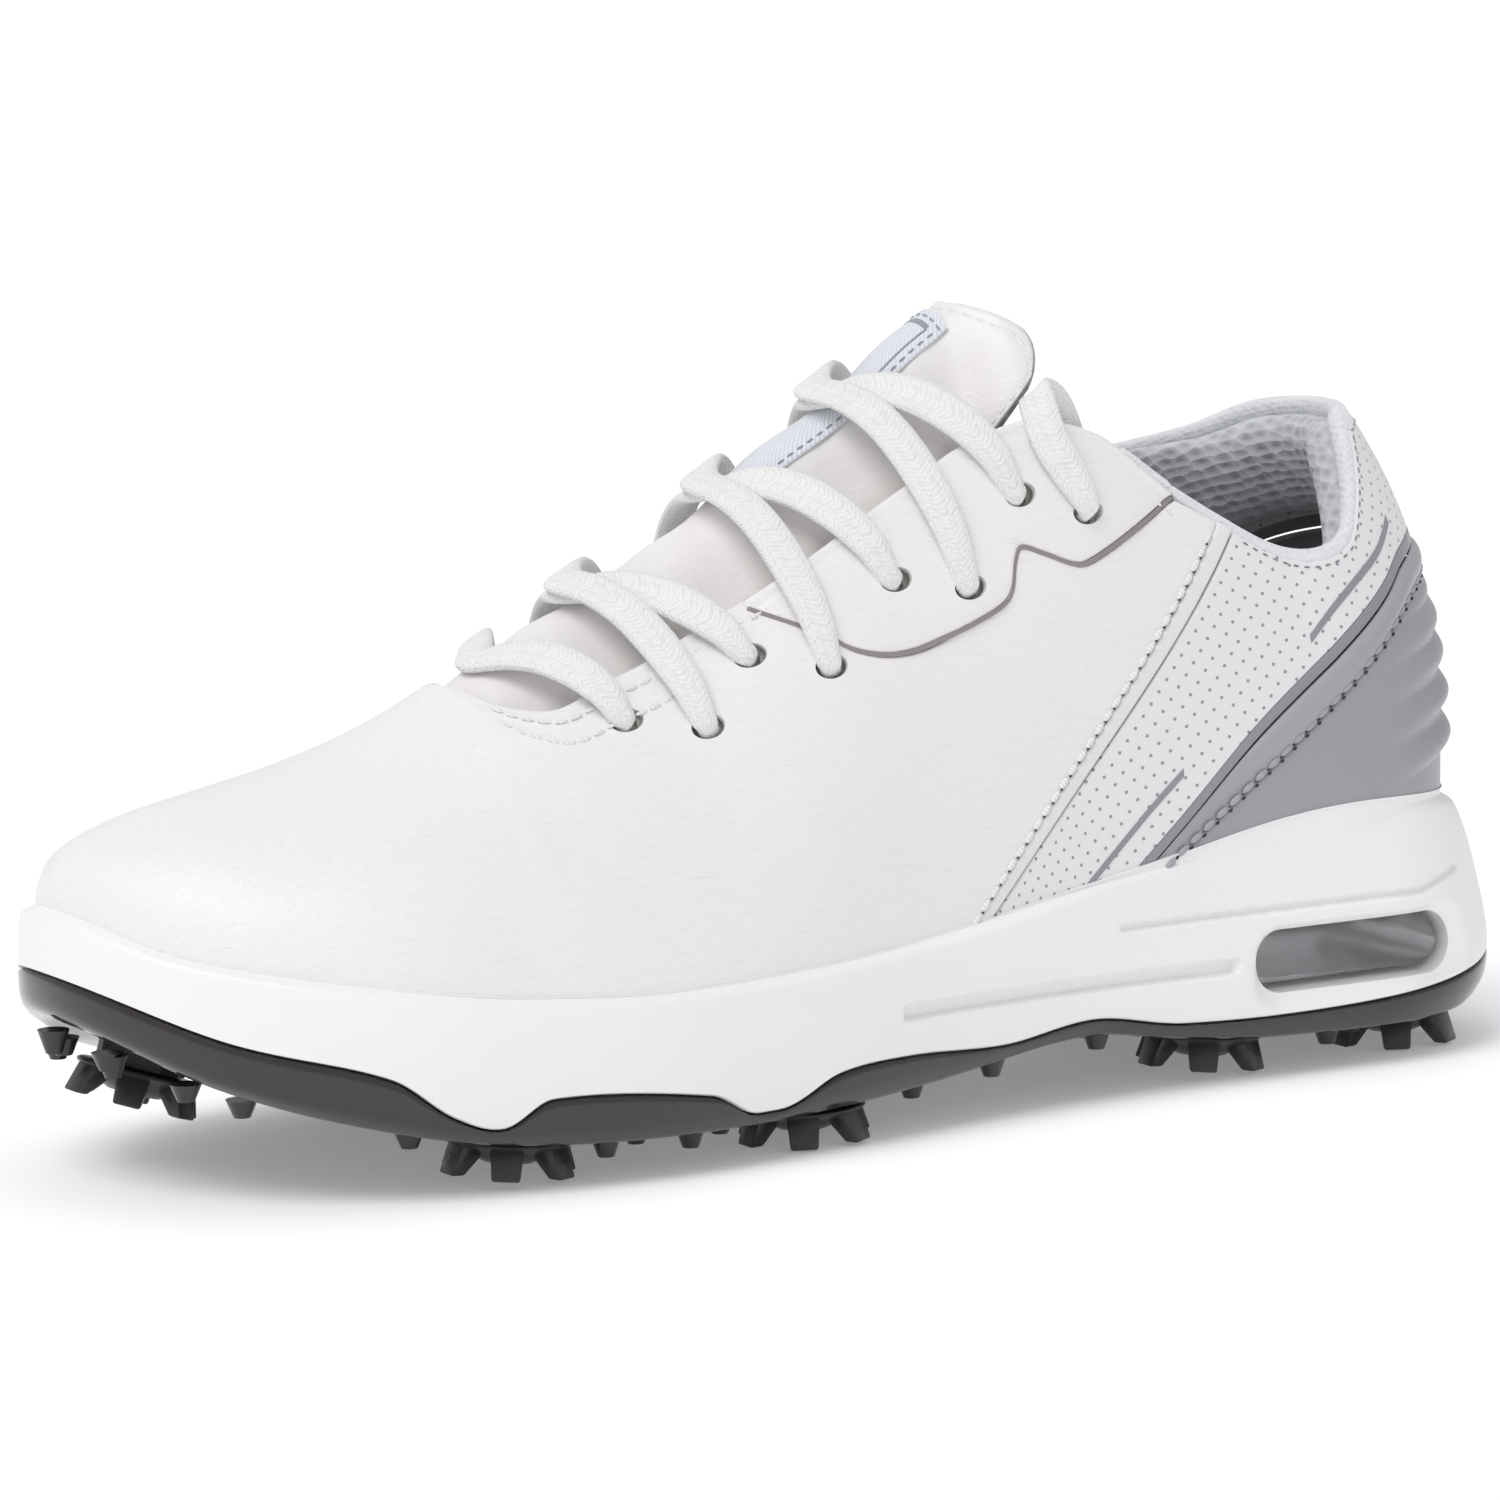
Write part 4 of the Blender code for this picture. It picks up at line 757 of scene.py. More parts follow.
# %% The seam lines
SEAM_FOOT, SEAM_HEAD, STRIP = 15, 78, 3.4
HEAD_SHIFT = 0.8  # a line beside the seam stands this much closer to it at the collar
TUCK = -0.55  # the theta that pulled leather reaches inside the cup
THROAT_START, NOTCH_FOOT = -72, 5.5
THROAT = [(-71.5, 83.2), (-69.5, 81.6), (-65, 80.4), (-59, 80.5), (-50, 84.2), (-40, 87.8), (-22, 96.3)]
EYESTAY_TOP = [(-22, 96.3), (-12, 101.5), (-4, 105.7), (5, 110.7), (13, 115), (22, 120.1), (28, 122.5),
               (33, 124.2), (38, 125), (46, 124), (55, 121), (62, 115.5), (69, 109.5)]
EYESTAY_LOW = [(-22, 95.1), (-14, 91.8), (-9, 89.5), (-5, 87.2), (1, 85.9), (7, 86.2), (13, 87.8), (19, 89.7),
               (25.5, 92.4), (28.2, 95), (29.8, 100.2), (31.6, 102.6), (36, 101.2), (42, 98.9), (46, 99.2),
               (57, 103.9), (68.2, 109.2)]
VAMP_HEAD = [*EYESTAY_LOW[:7], (19, 91.5), (25, 97), (31.6, 104), (36, 102.6), (42, 99.6), *EYESTAY_LOW[14:]]
COLLAR = {
    LATERAL: [(69, 109.5), (79, 103), (90, 96.7), (99, 95), (108, 97.5), (114, 104), (121, 112.2), (127, 118),
              (137, 119.5)],
    MEDIAL: [(69, 109.5), (79, 109.8), (90, 111), (99, 112), (108, 113.2), (114, 114.4), (121, 116.5),
             (127, 118.2), (137, 119.5)],
}
PIPING_LOW = [(47, 33), (61, 43.8), (73, 52.2), (85, 60.4), (98, 69.6), (108, 76.6), (122, 86), (137, 91)]
PIPING_HIGH = [(47, 36), (61, 47.8), (79, 63.4), (99, 76.9), (114, 86.3), (122, 91.5), (137, 96)]
BAND = 2.8


def seam_height(x, side, shift):
    """Height of a line beside the side seam, straight when seen from the side."""
    foot, head = SEAM_FOOT + shift, SEAM_HEAD + shift * HEAD_SHIFT
    low, high = float(smooth(LIP, foot)), float(smooth(COLLAR[side], head)) - 0.3
    return low + (high - low) * (x - foot) / (head - foot)


def seam_line(side, shift, count=120):
    """A line beside the side seam, from inside the cup to the collar."""
    foot, head = SEAM_FOOT + shift, SEAM_HEAD + shift * HEAD_SHIFT
    x = np.linspace(foot - (head - foot) * 0.1, head, count)
    return on_last(x, theta_at(x, seam_height(x, side, shift)), side)


# %% Make the vamp


def vamp_half(side):
    """Rows and columns of one half: toe columns to the ridge, then columns to the throat and the eyestay."""
    toe = LAST_TOE + (THROAT_START - LAST_TOE) * (1 - np.cos(np.linspace(0, math.pi / 2, 90)))
    throat = upper_line(THROAT, side, 160)
    below_eyestay = upper_line(VAMP_HEAD, side, 260)
    below_eyestay[:, 0] += 0.35
    below_eyestay[:, 1] -= 0.006
    end = seam_line(side, -0.15)[-1:]
    last = below_eyestay[-1:]
    t = np.linspace(0.08, 1, 24)
    bridge_x = last[0, 0] + (end[0, 0] - last[0, 0]) * t
    height_last = form(*last[0])[2]
    bridge_z = height_last + (form(*end[0])[2] - height_last) * t
    bridge = on_last(bridge_x, theta_at(bridge_x, bridge_z), side)
    tops = np.vstack([throat, below_eyestay, bridge])
    final = seam_line(side, -0.15)[0]
    foot_x = np.interp(tops[:, 0], (THROAT_START, 26, SEAM_HEAD), (THROAT_START, NOTCH_FOOT, final[0]))
    foot_theta = np.where(foot_x < NOTCH_FOOT, TUCK, np.interp(foot_x, (NOTCH_FOOT, final[0]), (TUCK, final[1])))
    feet = on_last(foot_x, foot_theta, side)
    return np.vstack([on_last(toe, TUCK, side), feet[1:]]), np.vstack([on_last(toe, 1.0, side), tops[1:]])


def vamp_shape(places, edges):
    """Rolls the throat edge, pulls the leather in under its stitches, and lets it wave a little."""
    x, theta = places[..., 0], places[..., 1]
    behind = ramp(x, -73, -68)
    top = places[:, -1:, 0]
    free = np.where(top > -71.9, 1.0, 0.0)
    above = edges["above"]
    edge = rolled(above) * free
    seams = sum(0.22 * np.exp(-((above - d) / 0.7) ** 2) for d in (2.2, 5.2)) * free * (top < -18)
    wave = 0.35 * np.sin(x * 0.11 + theta * 7) * np.sin(theta * 11 + x * 0.05) * ramp(theta, 0.1, 0.4) * behind
    return edge + seams + wave * (1 - ramp(theta, 0.8, 1)) + rolled(edges["rear"])


halves = [panel(f"vamp_{side_name(side)}", *vamp_half(side), (230, 60), WHITE_LEATHER, "white_leather",
                thickness=1.1, rolls=(), shape=vamp_shape, straight=True) for side in (LATERAL, MEDIAL)]
print("vamp halves", [len(h.data.polygons) for h in halves], "faces")

# %% [markdown]
# The halves are still two sheets with walls along the ridge. They are joined into one piece; the points on
# the ridge are not merged.

# %% Join the vamp


def join(name, pieces):
    """Makes several pieces one."""
    choose(pieces[0])
    for other in pieces[1:]:
        other.select_set(True)
    bpy.ops.object.join()
    joined = bpy.context.object
    joined.name = joined.data.name = name
    return joined


vamp = join("vamp_hide", halves)
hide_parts("vamp")
for side in (LATERAL, MEDIAL):
    tops = upper_line([(-69.5, 81.6), *THROAT[2:]], side, 200)
    for row, drop in enumerate((2.2, 5.2)):
        low = tops.copy()
        low[:, 1] -= drop / 62
        stitch_line(f"throat_stitches_{side_name(side)}_{row}", low, WHITE_THREAD, "white_leather", 3.0)
print("throat stitched")

# %% [markdown]
# ## Eyestays, side seams and quarters
# The eyestay is a separate overlay with a painted raw edge. Behind it a narrow folded strip covers each side
# seam, with plump stitches beside it, and the punched quarter runs back to the heel under a printed line.

# %% Eyestays
EYELETS = [(-49, 77.8), (-35, 75.8), (-24, 87.0), (-10, 84.4), (6, 98.2), (20, 96.0), (33, 111.5), (47, 107.5)]


def eyestay_shape(places, edges):
    """Pulls the leather in under its stitches and lets it stand a little proud behind its painted edge."""
    return 0.2 * np.exp(-((edges["above"] - 2.4) / 0.7) ** 2) - 0.25 * ramp(edges["below"], 0.6, 2.5)


for side in (LATERAL, MEDIAL):
    low = upper_line(EYESTAY_LOW, side, 300)
    high = upper_line(EYESTAY_TOP, side, 300)
    high[:, 1] -= 0.004
    name = f"eyestay_overlay_{side_name(side)}"
    panel(name, low, high, (150, 34), WHITE_LEATHER, "white_leather", (f"eyestay_{side_name(side)}",), -0.35, 1.3,
          ("below", "above", "front", "rear"), eyestay_shape)
    edge = low.copy()
    edge[:, 0] += 0.15
    edge[:, 1] -= 0.003
    tube_on(f"eyestay_edge_{side_name(side)}", edge, 0.5, EDGE_PAINT, 0.15)
    top = high.copy()
    top[:, 1] -= 2.4 / 68
    stitch_line(f"eyestay_stitches_{side_name(side)}", top, WHITE_THREAD, "white_leather", 3.0, depth=-0.2)
print("eyestays laid over the vamp")

# %% Side seams and quarters
SEAM_GAP = STRIP + 0.35


def quarter_lines(side):
    """Lower and upper lines of the quarter, from the seam's foot to the back seam."""
    foot, head = SEAM_FOOT + STRIP + 0.35, SEAM_HEAD + SEAM_GAP * HEAD_SHIFT
    front = np.linspace(foot + 0.6, 47, 120)
    rear = 47 + (LAST_HEEL - 0.002 - 47) * np.sin(np.linspace(0, math.pi / 2, 300))[1:]
    x = np.r_[front, rear]
    band = theta_at(x, smooth(PIPING_HIGH, x) + BAND + 0.15)
    low = np.where(x < 47, TUCK, TUCK + (band - TUCK) * ramp(x, 46, 50))
    edge = np.where(x < head, seam_height(x, side, SEAM_GAP), smooth(COLLAR[side], x) - 0.3)
    high = theta_at(x, edge)
    return on_last(x, low, side), on_last(x, high, side)


for side in (LATERAL, MEDIAL):
    name = side_name(side)
    panel(f"quarter_punched_{name}", *quarter_lines(side), (190, 60), PUNCHED_LEATHER, "perforated_leather",
          (f"quarter_{name}",), 0.05, 1.0, ("above",))
    panel(f"seam_strip_folded_{name}", seam_line(side, -0.2), seam_line(side, STRIP), (150, 12), STRIP_LEATHER,
          "white_leather", (f"seam_strip_{name}",), -0.2, 1.1, ("below", "above"), roll=0.6)
    stitch_line(f"side_seam_stitches_{name}", seam_line(side, -1.1)[10:-2], WHITE_THREAD, "white_leather", 3.1,
                (2.7, 1.2, 1.1), -0.1)
    # Small dark beads between the stitches: painted shade in the needle holes.
    stitch_line(f"side_seam_hole_shade_{name}", seam_line(side, -0.75)[10:-2], HOLE_SHADE, "white_leather", 3.1,
                (0.6, 0.45, 0.4), -0.2, phase=1.55)
    for part, ends in (("upper", [(122, 100.1), (115, 94.9), (106, 89.9), (99, 85.4), (93, 80.6)]),
                       ("lower", [(62, 58.9), (54, 52.4), (39, 39.1)])):
        low, high = (upper_line([(x, z + wide) for x, z in ends], side, 80) for wide in (-0.75, 0.75))
        panel(f"printed_line_{part}_{name}", low, high, (60, 9), PRINT_FILM, "perforated_leather", (), -0.06, 0.1, ())
print("quarters, strips and printed lines made")

# %% [markdown]
# ## The heel
# A moulded cover wraps the heel. Its back carries five soft ribs that hang over one another and fade out
# towards the sides. A padded piping follows its edge, and a flat band lies beside that.

# %% Heel cover, piping and band


def round_heel(front, height, count=260):
    """A line round the heel at a height(x), from the lateral side to the medial side."""
    half = front + (LAST_HEEL - front) * np.sin(np.linspace(0, math.pi / 2, count))
    x = np.r_[half, half[-2::-1]]
    side = np.r_[np.full(count, LATERAL), np.full(count - 1, MEDIAL)]
    return on_last(x, height(x), side)


HEEL_FRONT = 47.6
RIBS = [(88, 0.7), (81.5, 1.2), (75, 1.5), (67.5, 1.9), (59.8, 2.0)]
RIB_PITCH = 7.0


def rib_shape(places, edges):
    """Soft ribs across the back: each swells downwards and then tucks in sharply."""
    x, theta = places[..., 0], places[..., 1]
    z = form(x, theta, LATERAL)[..., 2] + (LAST_HEEL - x) * 0.22
    reach = ramp(x, 104, 133)
    total = np.zeros_like(x)
    for height, swell in RIBS:
        t = np.clip((height + RIB_PITCH * 0.62 - z) / RIB_PITCH, 0, 1)
        total = np.maximum(total, swell * np.sin(math.pi * np.clip(t, 0, 1) ** 1.5))
    return -total * reach * ramp(edges["above"], 0.5, 5)


cover_top = round_heel(HEEL_FRONT, lambda x: theta_at(x, smooth(PIPING_LOW, x) - 0.1))
cover_foot = round_heel(HEEL_FRONT, lambda x: TUCK + 0 * x)
panel("heel_cover_moulded", cover_foot, cover_top, (300, 110), GREY_COVER, "moulded_grey_cover",
      ("heel_counter_cover",), -0.15, 1.3, ("above",), rib_shape)
piping_low = round_heel(HEEL_FRONT, lambda x: theta_at(x, smooth(PIPING_LOW, x) + 0.15))
piping_high = round_heel(HEEL_FRONT, lambda x: theta_at(x, smooth(PIPING_HIGH, x) - 0.15))


def padded_strip(places, edges):
    """Swells between its two edges."""
    t = edges["below"] / (edges["below"] + edges["above"])
    return 0.3 - 1.3 * np.sqrt(np.clip(np.sin(math.pi * t), 0, 1)) * ramp(places[..., 1], 0.04, 0.14)


panel("heel_piping_padded", piping_low, piping_high, (260, 19), GREY_PIPING, "grey_trim", ("heel_piping",), 0.0,
      0.9, (), padded_strip)
band_low = round_heel(HEEL_FRONT, lambda x: theta_at(x, smooth(PIPING_HIGH, x) + 0.25))
band_high = round_heel(HEEL_FRONT, lambda x: theta_at(x, smooth(PIPING_HIGH, x) + BAND))
panel("heel_band_flat", band_low, band_high, (260, 11), GREY_BAND, "grey_trim", ("heel_band",), 0.0, 1.0,
      ("below", "above"), roll=0.4)
edge_seam = round_heel(48.5, lambda x: theta_at(x, smooth(PIPING_LOW, x) + 0.5))
stitch_line("heel_piping_stitches", edge_seam, GREY_PIPING, "grey_trim", 3.6, (3.2, 1.3, 1.2), -0.2)
# Small dark beads between the stitches: painted shade in the needle holes.
stitch_line("heel_piping_hole_shade", edge_seam - (0, 0.008, 0), HOLE_SHADE, "grey_trim", 3.6, (0.9, 0.6, 0.5), -0.25,
            phase=1.8)
print("heel made")

# %% [markdown]
# ## Eyelet holes
# The holes are punched straight through the leather. Oval punches stand on the leather, a little wider
# than the lace that is squeezed into each, and one cut goes through each layer.

# %% Punch the eyelets


def spot(place, side, depth=0.0):
    """A (station, height) place on the last as one point at a depth."""
    return lay(place[0], theta_at(place[0], place[1]), side, depth)


def spot_normal(place, side):
    """The last's unit normal at a (station, height) place."""
    return facing(place[0], theta_at(place[0], place[1]), side)


def punch(at, normal, along, length, width, deep):
    """An oval punch standing along a normal, with its long side along a direction."""
    bpy.ops.mesh.primitive_cylinder_add(vertices=28, radius=MM, depth=deep * MM)
    tool = bpy.context.object
    x_axis = along - normal * np.dot(along, normal)
    x_axis /= np.linalg.norm(x_axis)
    y_axis = np.cross(normal, x_axis)
    axes = np.stack([x_axis * length / 2, y_axis * width / 2, normal], 1)
    turn = Matrix([(*row, 0) for row in axes] + [(0, 0, 0, 1)])
    tool.matrix_world = Matrix.Translation(Vector((at - (MIDDLE, 0, 0)) * MM)) @ turn
    return tool


def cut(piece, tool, crossing=False):
    """Cuts a tool out of a piece and throws the tool away; crossing if the piece's own faces may cross."""
    apply_modifier(piece, "BOOLEAN", operation="DIFFERENCE", object=tool, solver="EXACT", use_self=crossing)
    bpy.data.objects.remove(tool)


for piece, numbers, sides in ((vamp, (0, 1, 2, 3), (LATERAL, MEDIAL)),
                              (bpy.data.objects["eyestay_overlay_lateral"], (4, 5, 6, 7), (LATERAL,)),
                              (bpy.data.objects["eyestay_overlay_medial"], (4, 5, 6, 7), (MEDIAL,))):
    tools = []
    for side in sides:
        for n in numbers:
            normal = spot_normal(EYELETS[n], side)
            tools.append(punch(spot(EYELETS[n], side), normal, np.array([1.0, 0, 0.15]), 6.4, 4.6, 6))
    cut(piece, join("punches", tools), piece is not vamp)
    print(piece.name, "has", len(piece.data.polygons), "faces after punching")

# %% [markdown]
# ## The tongue
# Padded leather with rounded edges: the leather wraps over the foam and meets a mesh lining at the edge.
# The laces press it down, so it swells between them. It is sewn in at its toe end.

# %% Tongue leather and lining
TONGUE_SEAM, TONGUE_BASE, TONGUE_TOP, TONGUE_WING = -77.0, -62.0, 34.0, 15.0
TONGUE_EDGE = [(-62, 0.66), (-20, 0.60), (20, 0.56), (34, 0.60), (49, 0.68)]
LACE_RIDGE = {1: -66, 3: -47, 5: -18, 7: 6}


def lace_swell(x):
    """How far the tongue swells between the runs of the lace."""
    return sum(0.9 * np.exp(-((x - at) / 7.0) ** 2) for at in (-57, -33, -6, 22))


def tongue_depth(x, theta):
    """Depth of the tongue's face under the last; it sinks under the eyestays and lifts at its tip."""
    edge = 1 - ramp(theta, 0.70, 0.94)
    lift = ramp(x, 26, 40)
    under_vamp = 0.9 * (1 - ramp(x, -68, -54))
    return 2.6 - under_vamp + 3.6 * edge * (1 - lift) - 2.4 * lift


def tongue_places(columns=150, rows=90):
    """Places over the tongue and their distances from its edges."""
    f = np.linspace(0, 1, columns)[:, None]
    g = np.sin(np.linspace(-math.pi / 2, math.pi / 2, rows))[None]
    x = TONGUE_SEAM + (TONGUE_TOP - TONGUE_SEAM) * (1 - (1 - f) ** 1.25)
    x = x + TONGUE_WING * np.abs(g) ** 1.6 * np.clip((x - TONGUE_BASE) / (TONGUE_TOP - TONGUE_BASE), 0, 1)
    corner = np.clip((np.abs(g) - 0.7) / 0.3, 0, 1)
    x = x - 8 * (1 - np.sqrt(1 - corner**2)) * f**4
    theta = 1 - (1 - smooth(TONGUE_EDGE, x)) * np.abs(g)
    side = np.where(g <= 0, LATERAL, MEDIAL) + 0 * x
    points = lay(x, theta, side, tongue_depth(x, theta))
    across = np.linalg.norm(np.diff(points, axis=1), axis=2)
    run = np.concatenate([np.zeros((columns, 1)), np.cumsum(across, axis=1)], 1)
    along = np.linalg.norm(np.diff(points, axis=0), axis=2)
    length = np.concatenate([np.zeros((1, rows)), np.cumsum(along, axis=0)], 0)
    return x, theta, side, {"left": run, "right": run[:, -1:] - run, "base": length, "tip": length[-1:] - length}


def tongue_layer(name, finish, outer, replaced):
    """The tongue's leather face or its mesh back, laid on the last."""
    x, theta, side, edges = tongue_places()
    nearest = np.minimum(np.minimum(edges["left"], edges["right"]), edges["tip"])
    swell = lace_swell(x) * ramp(nearest, 1, 9)
    middle = 0.35 * np.sin(x * 0.5) * np.sin(theta * 9) * ramp(nearest, 3, 8) * 0.5
    turn_down = rolled(nearest, 3.1)
    inner = 6.5 - 3.5 * (1 - ramp(x, -70, -55))
    depths = tongue_depth(x, theta) + (turn_down - swell + middle if outer else inner - turn_down)
    if outer:
        depths = depths + 0.25 * np.exp(-((nearest - 3.2) / 0.8) ** 2)
    points, normals = lay(x, theta, side, depths), facing(x, theta, side)
    piece = from_grid(name, points, np.stack([edges["base"], edges["left"]], -1))
    point_outwards(piece, points, normals)
    if not outer:
        piece.data.flip_normals()
    thicken(piece, 0.9)
    dress(piece, finish, replaced, None)
    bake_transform(piece)
    return piece


TONGUE_LEATHER = coated_leather("white_tongue_leather", "#F1EEEC", "#E9E6E5", 0.14)
tongue = tongue_layer("tongue_padded_face", TONGUE_LEATHER, True,
                      ("tongue_leather", "tongue_foam"))
tongue_back = tongue_layer("tongue_mesh_back", MESH_LINING, False, ("tongue_lining",))


def tongue_line(inset, count=220):
    """Places of a line that runs round the tongue's free edge, a distance inside it."""
    x, theta, side, edges = tongue_places(150, 181)
    left = np.argmin(np.abs(edges["left"] - inset), axis=1)
    right = np.argmin(np.abs(edges["right"] - inset), axis=1)
    stop = int(np.argmin(np.abs(edges["tip"][:, 90] - inset)))
    walk = [(i, left[i]) for i in range(40, stop)] + [(stop, j) for j in range(left[stop], right[stop])]
    walk += [(i, right[i]) for i in range(stop, 40, -1)]
    i, j = np.array(walk).T
    return x[i, j], theta[i, j], side[i, j]


x, theta, side = tongue_line(3.2)
path = lay(x, theta, side, tongue_depth(x, theta) + 0.3)
thread_piece("tongue_edge_stitches", *beads_along(path, facing(x, theta, side), 3.0, (2.4, 0.8, 0.6)),
             WHITE_THREAD, "white_leather", "tongue")
print("tongue", [len(p.data.polygons) for p in (tongue, tongue_back)], "faces")

# %% [markdown]
# The label is a woven ribbon with a plain border: two lines of satin weave and a row of stitches.

# %% Label


def woven_label(name):
    made, tree, shader = new_finish(name, "#E9EBF2", 0.75, Sheen_Weight=0.2)
    weave = node(tree, "ShaderNodeTexWave", {"Vector": object_pattern(tree, (1, 1, 1), (0, 0.6, 0.9)),
                                             "Scale": 480, "Distortion": 0.4})
    # The sunk lines of the weave take the darker tone: painted shade.
    two_tones(tree, shader, weave.outputs["Fac"], "#DADDE6", "#EEF0F6")
    add_bump(tree, shader, weave.outputs["Fac"], 0.12)
    return made


LABEL_WEAVE = woven_label("satin_woven_label")
LABEL_X, LABEL_HALF = (-14, 30), 0.135


def label_line(theta, start=LABEL_X[0], stop=LABEL_X[1]):
    """A line along the label."""
    return on_last(np.linspace(start, stop, 60), theta, LATERAL)


def across_label(x, low, high, count):
    """A line across the label."""
    return on_last(x, np.linspace(low, high, count), LATERAL)


def folded_theta(theta):
    """theta counted from the nearer side, where a line crosses the ridge."""
    return np.where(theta > 1, 2 - theta, theta)


def on_tongue(extra):
    """A panel's depth where it lies on the tongue's swelling face."""

    def shape(places, edges):
        x = places[..., 0]
        return tongue_depth(x, folded_theta(places[..., 1])) - lace_swell(x) + extra

    return shape


def ribbon(name, low, high, size, finish, extra, thickness):
    """A flat piece of the label between two lines."""
    return panel(name, low, high, size, finish, "woven_label", (), 0.0, thickness,
                 ("below", "above", "front", "rear"), on_tongue(extra), roll=0.3)


label = ribbon("tongue_label_ribbon", label_line(1 - LABEL_HALF), label_line(1 + LABEL_HALF), (70, 30),
               LABEL_WEAVE, -0.85, 0.7)
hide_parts("tongue_label")
borders = []
for theta in (1 - LABEL_HALF * 0.66, 1 + LABEL_HALF * 0.66):
    borders.append(ribbon("label_border", label_line(theta - 0.006, 13, 27), label_line(theta + 0.006, 13, 27),
                          (24, 9), LABEL_THREAD, -0.95, 0.3))
for x in (13, 27):
    bar = across_label(x, 0.91, 1.09, 20)
    borders.append(ribbon("label_border", bar - (0.6, 0, 0), bar + (0.6, 0, 0), (24, 9), LABEL_THREAD, -0.95, 0.3))
frame_line = join("label_border", borders)
for piece in (label, frame_line):
    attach(piece, "tongue")
corner = LABEL_HALF - 0.018
ring = np.vstack([label_line(1 - corner, -12.5, 28.5), across_label(28.5, 1 - corner, 1 + corner, 30),
                  label_line(1 + corner, 28.5, -12.5), across_label(-12.5, 1 + corner, 1 - corner, 30)])
x, theta = ring[:, 0], ring[:, 1]
path = lay(x, theta, LATERAL, tongue_depth(x, folded_theta(theta)) - lace_swell(x) - 0.9)
thread_piece("label_stitches", *beads_along(path, facing(x, theta, LATERAL), 2.4, (1.6, 0.5, 0.4)),
             LABEL_THREAD, "woven_label", "tongue")
print("label sewn on")

# %% [markdown]
# ## The lace
# One flat knitted lace runs through all sixteen holes. Where it lies free it is 7.5 mm wide and 2.5 mm
# thick; each hole squeezes it to a round cord. The runs between two holes lie behind the leather, and both
# free ends are tucked in beside the tongue.

# %% Lace
LACE_TAIL = [((43, 115), -2.8), ((40, 121), -2.9), ((41, 128.5), -0.8), ((48, 127.5), 3.5), ((54, 118), 8.0),
             ((58, 108), 12.8), ((63, 97), 13.2), ((70, 87), 12.5), ((78, 78), 11.5), ((88, 71), 11.5)]
LACE_HALF, LACE_THICK = 3.75, 1.25


def knot(point, across, half, thick):
    """A point of the lace with its width direction, half width and half thickness, as one row."""
    return np.r_[point, across, half, thick]


def through_hole(hole, outside, normal, across):
    """Knots that squeeze the lace to a cord through a hole, from behind the leather to a point outside."""
    return [knot(hole - normal * 4.4, across, 1.9, 1.3), knot(hole - normal * 0.6, across, 2.0, 1.35),
            knot(outside, across, 2.5, 1.45)]


def strand(first, side_a, last, side_b, ridge_x, depth):
    """A strand over the tongue from eyelet to eyelet, as knots."""
    ridge = lay(ridge_x, 1.0, LATERAL, depth)
    found = []
    for n, side, order in ((first, side_a, 1), (last, side_b, -1)):
        x, theta = EYELETS[n - 1][0], float(theta_at(*EYELETS[n - 1]))
        normal = facing(x, theta, side)
        hole = lay(x, theta, side, 0)
        across = np.cross(normal, (ridge - hole) * order)
        across /= np.linalg.norm(across)
        step = (ridge - hole) / np.linalg.norm(ridge - hole)
        leg = through_hole(hole, hole + normal * 1.1 + step * 1.8, normal, across)
        for f, half, height in ((0.16, 3.3, 1.9), (0.34, LACE_HALF, 2.1),
                                (0.56, LACE_HALF, 2.0 + (-depth - 2) * 0.3),
                                (0.8, LACE_HALF, 2.0 + (-depth - 2) * 0.75)):
            x_f, theta_f = x + (ridge_x - x) * f, theta + (1 - theta) * f
            leg.append(knot(lay(x_f, theta_f, side, -height), across, half, LACE_THICK))
        if order == 1:
            far = spot(EYELETS[last - 1], side_b) - hole
            top_across = np.cross([0, 0, 1.0], far)
            found += [*leg, knot(ridge, top_across / np.linalg.norm(top_across), LACE_HALF, LACE_THICK)]
        else:
            found += leg[::-1]
    return found


def lace_end(side):
    """From the top eyelet over the eyestay's edge and down inside, to the free end."""
    hole, normal = spot(EYELETS[7], side), spot_normal(EYELETS[7], side)
    across = np.array([0.8, 0, 0.6])
    found = through_hole(hole, hole + normal * 1.3 + np.array([-0.6, 0, 1.4]), normal, across)
    shapes = [(3.5, 1.3), (3.6, 1.25), (3.4, 1.25), (3.0, 1.3), (2.4, 1.4)] + [(1.6, 1.3)] * 5
    for (place, depth), (half, thick) in zip(LACE_TAIL, shapes):
        lift = 0.7 if depth < 0 else 0.0
        found.append(knot(spot(place, side, depth + lift), across, half, thick))
    return found


def lace_knots():
    """The whole lace: one end, seven crossings up and down the tongue, and the other end."""
    top, under = -2.3, 0.35
    knots = lace_end(LATERAL)[::-1]
    crossings = [(7, 6, 7, LATERAL, under), (5, 4, 5, MEDIAL, top), (3, 2, 3, LATERAL, under),
                 (1, 1, 1, MEDIAL, under), (2, 3, 3, LATERAL, top), (4, 5, 5, MEDIAL, under), (6, 7, 7, LATERAL, top)]
    for up, landing, pair, side, depth in crossings:
        knots += strand(up, side, landing, -side, LACE_RIDGE[pair], depth)
    return knots + lace_end(MEDIAL)


def one_way(knots):
    """Turns each width direction so that it agrees with the one before it."""
    for before, this in zip(knots, knots[1:]):
        if np.dot(before[3:6], this[3:6]) < 0:
            this[3:6] *= -1
    return knots


def softened(line, rounds):
    """A line whose points are averaged with their neighbours, round after round."""
    line = line.copy()
    for _ in range(rounds):
        line[1:-1] = (line[:-2] + line[1:-1] + line[2:]) / 3
    return line


